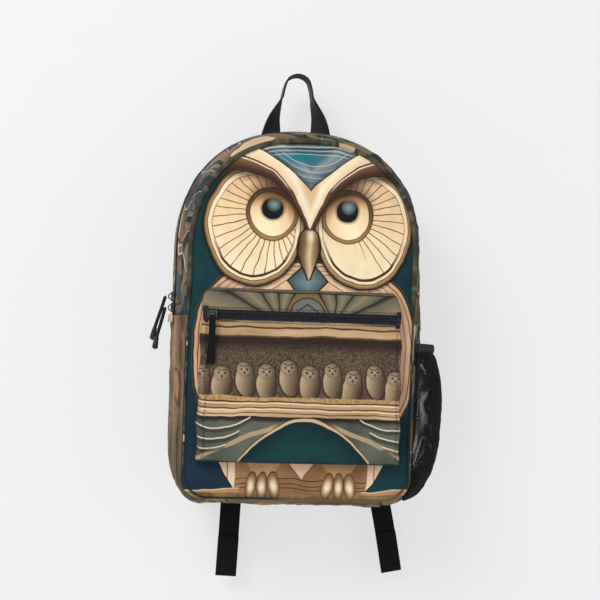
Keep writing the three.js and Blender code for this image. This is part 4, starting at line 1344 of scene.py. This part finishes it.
def black_cloth(flow):
    place = object_place(flow)
    x, _, z = parts_of(flow, place)
    weave = (x * 4200).math("SINE") * (z * 4200).math("SINE")
    slubs = place.spots(700, 3)
    # The colour is partly the cloth's own slubs and partly painted shade: the weave's hollows darker and its
    # raised threads lighter.
    shade = (slubs * 0.7 + weave * 0.15 + 0.1).dyed((0.25, dye(24, 24, 27)), (0.8, dye(62, 62, 66)))
    return {"Base Color": shade, "Roughness": slubs * 0.15 + 0.7,
            "Normal": bumped(flow, weave * 0.6 + slubs, 0.5, 0.0005)}


black_weave = material("black_weave", black_cloth, roughness=0.8, specular=0.2)


def puffed(piece, voxel, cap, pressure=4.0):
    """Blows a closed cloth up a little, no further than cap in mm, and smooths it."""
    given(piece, "REMESH", mode="VOXEL", voxel_size=voxel / 1000)
    before = np.array([point.co for point in piece.data.vertices])
    only(piece)
    soft = piece.modifiers.new("cloth", "CLOTH")
    soft.settings.use_pressure = True
    soft.settings.uniform_pressure_force = pressure
    soft.settings.effector_weights.gravity = 0
    soft.point_cache.frame_start = 1
    soft.point_cache.frame_end = 20
    for step in range(1, 21):
        bpy.context.scene.frame_set(step)
    bpy.ops.object.modifier_apply(modifier=soft.name)
    bpy.context.scene.frame_set(1)
    after = np.array([point.co for point in piece.data.vertices])
    travel = after - before
    far = np.linalg.norm(travel, axis=1)[:, None] * 1000
    travel *= np.minimum(1, cap / np.maximum(far, 1e-6))
    piece.data.vertices.foreach_set("co", (before + travel).ravel())
    piece.data.update()
    given(piece, "SUBSURF", levels=1, render_levels=1)
    piece.data.polygons.foreach_set("use_smooth", [True] * len(piece.data.polygons))
    return piece


def moved(piece, change):
    """Moves every point of a piece, in mm."""
    spots = np.array([point.co for point in piece.data.vertices]) * 1000
    piece.data.vertices.foreach_set("co", (change(spots) / 1000).ravel())
    piece.data.update()
    return piece


def back_place(u, v):
    x, z = arched(u, v, BACK_HALF - PAD_GAP, BACK_TOP - PAD_GAP, BACK_BASE + PAD_GAP, 30)
    return x, np.full(len(x), 11.0), z, x, z


pad = formed("back_pad", 60, 84, back_place)
face_from(pad, 0, -60, -290)
given(pad, "SOLIDIFY", thickness=0.006, offset=-1)
puffed(pad, 6, 3)


def quilting(spots):
    x, z = spots[:, 0], spots[:, 2]
    seam = np.abs(x)
    for level in (-190, -400):
        seam = np.minimum(seam, np.abs(z - level - np.abs(x) * 0.25) * 0.9)
    border = np.minimum(half_at(z, BACK_HALF - PAD_GAP, BACK_TOP - PAD_GAP, BACK_BASE + PAD_GAP, 30)
                        - np.abs(x), BACK_TOP - z)
    sink = 3.2 * np.exp(-((seam / 5) ** 2)) + 2.0 * np.exp(-((np.clip(border, 0, None) / 6) ** 2))
    out = spots.copy()
    out[:, 1] = np.where(spots[:, 1] > 8, np.minimum(spots[:, 1], 13.2) - sink, spots[:, 1])
    return out


moved(pad, quilting)
finished(pad, black_weave, "black_cloth", "bag", "back_panel", "back_foam", "back_lining")
back_x, back_z = on_side(spread, np.full(300, 9.0), -1.0)
binding_line = np.stack((back_x, np.full(300, 9.5), back_z), 1)
binding_line[-1] = binding_line[0]
binding = tube("back_binding", binding_line, 4.0, 10, closed=True)
finished(binding, grey_binding, "black_cloth", "bag", "back_binding_top", "back_binding_bottom")
stitched("back_stitch", [(0, 9.6, -100), (0, 9.6, -490)], (0, 1, 0), coat=material(
    "grey_thread", thread_coat(dye(60, 60, 62), dye(96, 96, 98)), roughness=0.6, specular=0.2))


# ------------------------------------------------------------------ shoulder straps
# Two S-shaped foam pads in black cloth, sewn to the back under a yoke.
# Webbing runs down each to a ladder lock.
PAD_OUTER = [(66, -100), (88, -150), (101, -210), (98, -270), (86, -338)]
PAD_INNER = [(8, -100), (26, -150), (38, -210), (42, -270), (46, -338)]
STRAP_THICK = 8.5


def moulded(flow):
    fine = object_place(flow).spots(900, 2)
    broad = object_place(flow).spots(90, 2)
    shade = broad.dyed((0.3, dye(18, 18, 20)), (0.7, dye(34, 34, 37)))
    return {"Base Color": shade, "Roughness": broad * 0.25 + 0.25, "Normal": bumped(flow, fine, 0.25, 0.0002)}


moulded_black = material("moulded_black", moulded, roughness=0.4, specular=0.4)
outer_edge = join_up([(x, 0, z) for x, z in PAD_OUTER], 60)
inner_edge = join_up([(x, 0, z) for x, z in PAD_INNER], 60)
for side, turn in (("left", -1), ("right", 1)):
    def pad_place(u, v, turn=turn):
        at = np.rint((1 - v) * 59).astype(int)
        ease = 1.5 + 3.5 * np.clip(1 - np.minimum(v, 1 - v) / 0.06, 0, 1) ** 2
        low, high = inner_edge[at], outer_edge[at]
        x = low[:, 0] + ease + u * (high[:, 0] - low[:, 0] - 2 * ease)
        return turn * x, np.full(len(x), 21 + STRAP_THICK / 2), low[:, 2] * 0.995 - 0.8, x, low[:, 2]
    strap = formed("strap_pad_" + side, 24, 59, pad_place)
    face_from(strap, 0, -60, -210)
    given(strap, "SOLIDIFY", thickness=STRAP_THICK / 1000, offset=-1)
    given(strap, "BEVEL", width=0.003, segments=3, limit_method="ANGLE")
    puffed(strap, 4, 2.4)

    def sewn(spots, turn=turn):
        out = spots.copy()
        z = spots[:, 2]
        order = np.argsort(inner_edge[:, 2])
        low = np.interp(z, inner_edge[order, 2], inner_edge[order, 0])
        high = np.interp(z, outer_edge[order, 2], outer_edge[order, 0])
        gap = np.minimum(np.abs(spots[:, 0]) - low, high - np.abs(spots[:, 0]))
        sink = 2.2 * np.exp(-(((gap - 6.5) / 2.0) ** 2))
        out[:, 1] -= np.where(spots[:, 1] > 22, sink, -sink * 0.5)
        return out
    moved(strap, sewn)
    body = "shoulder_strap_" + side
    finished(strap, black_weave, "black_cloth", body, "strap_pad_" + side)
    run_line = join_up([(turn * 56, 28.3, -150), (turn * 64, 28.9, -190), (turn * 66, 28.8, -260),
                        (turn * 66, 28.2, -322), (turn * 66, 25.6, -352)], 40)
    webbing = strip("strap_webbing_" + side, run_line, (1, 0, 0), 25, 1.7)
    finished(webbing, black_webbing, "webbing", body, "strap_webbing_" + side)
    for at in (4, 34):
        spot = run_line[at]
        ring = [spot + (dx, 1.1, dz) for dx, dz in ((-9, 7), (9, 7), (9, -7), (-9, -7), (-9, 7), (9, -7),
                                                    (9, 7), (-9, -7))]
        stitched("strap_bartack_%s_%d" % (side, at), ring, (0, 1, 0), 3.4, body=body)
    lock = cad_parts["ladder_lock_" + side]
    lock.data.materials.clear()
    lock.data.materials.append(moulded_black)
    low_line = join_up([(turn * 66, 24.5, -346), (turn * 66, 21.2, -372), (turn * 73, 19.5, -392),
                        (turn * 86, 18.6, -420), (turn * 107, 16.6, -463)], 40)
    slope = np.gradient(low_line, axis=0)
    low_webbing = strip("lower_webbing_" + side, low_line, np.cross(slope, (0, 1, 0)), 25, 1.7)
    finished(low_webbing, black_webbing, "webbing", None, "lower_webbing_" + side)
    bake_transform(low_webbing)

    def tab_place(u, v, turn=turn):
        top = (1 - u) * 94 + u * 124, (1 - u) * -470 + u * -456
        low = (1 - u) * 113 + u * 136, (1 - u) * -499 + u * -484
        x = top[0] * v + low[0] * (1 - v)
        z = top[1] * v + low[1] * (1 - v)
        return turn * x, 13.9 + 0.9 * np.sin(u * math.pi) * v, z, x, z
    tab = formed("anchor_tab_" + side, 12, 12, tab_place)
    face_from(tab, 0, -60, -300)
    given(tab, "SOLIDIFY", thickness=0.0026, offset=-1)
    given(tab, "BEVEL", width=0.0008, segments=2, limit_method="ANGLE")
    finished(tab, black_weave, "black_cloth", "bag", "anchor_tab_" + side)


def yoke_place(u, v):
    x = (u * 2 - 1) * 72
    top = -87.5 - 12 * (np.abs(x) / 72) ** 2.2
    low = -108 + 0 * x
    z = low + v * (top - low)
    return x, 13.2 + 4.5 * np.clip((-92 - z) / 14, 0, 1) ** 1.5 * (np.abs(x) < 90), z, x, z


yoke = formed("strap_yoke", 40, 12, yoke_place)
face_from(yoke, 0, -60, -100)
given(yoke, "SOLIDIFY", thickness=0.0022, offset=1)
finished(yoke, black_weave, "black_cloth", "bag", "strap_yoke")
stitched("yoke_stitch", [(-64, 16.4, -97), (0, 16.2, -91), (64, 16.4, -97)], (0, 1, 0))


# ------------------------------------------------------------------ wall, floor and studio light
# A pale wall close behind the bag, a pale floor, one large soft light from the upper left and a fill.
def plain(name, shade, one_sided=False):
    made = bpy.data.materials.new(name)
    made.use_nodes = True
    shader = made.node_tree.nodes["Principled BSDF"]
    shader.inputs["Base Color"].default_value = (shade, shade, shade, 1)
    shader.inputs["Roughness"].default_value = 1
    if one_sided:
        shader.inputs["Emission Color"].default_value = (1, 1, 1, 1)
        shader.inputs["Emission Strength"].default_value = 0.6
        flow = Flow(made.node_tree)
        back = flow.make("NewGeometry", {}, {}, "Backfacing")
        clear = flow.make("BsdfTransparent", {}, {})
        mixed = flow.make("MixShader", {}, {0: back, 1: Flow(made.node_tree, shader.outputs[0]), 2: clear})
        made.node_tree.links.new(mixed.socket, made.node_tree.nodes["Material Output"].inputs["Surface"])
    return made


bpy.ops.object.select_all(action="DESELECT")
bpy.ops.mesh.primitive_plane_add(size=5, location=(0, 0, -0.72))
floor = bpy.context.object
floor.name = "floor"
floor.data.materials.append(plain("floor", 0.82))
bpy.ops.mesh.primitive_plane_add(size=5, location=(0, 0.047, 0), rotation=(math.pi / 2, 0, 0))
wall = bpy.context.object
wall.name = "wall"
wall.data.materials.append(plain("wall", 0.27, one_sided=True))
wall.visible_shadow = False
wall.visible_diffuse = False
wall.visible_glossy = False


def softbox(name, place, size, power):
    """A square studio light that faces the middle of the bag."""
    data = bpy.data.lights.new(name, "AREA")
    data.size = size
    data.energy = power
    light = bpy.data.objects.new(name, data)
    bpy.context.scene.collection.objects.link(light)
    light.location = place
    light.rotation_euler = (MIDDLE - Vector(place)).to_track_quat("-Z", "Y").to_euler()


softbox("key", (-1.4, -2.1, 1.2), 1.2, 46)
softbox("fill", (1.9, -2.0, 0.1), 1.8, 8)
softbox("behind", (-0.9, 2.2, 1.0), 1.6, 40)
world = bpy.data.worlds.new("studio")
world.use_nodes = True
world.node_tree.nodes["Background"].inputs["Color"].default_value = (1.0, 1.0, 1.0, 1)
world.node_tree.nodes["Background"].inputs["Strength"].default_value = 0.5
bpy.context.scene.world = world
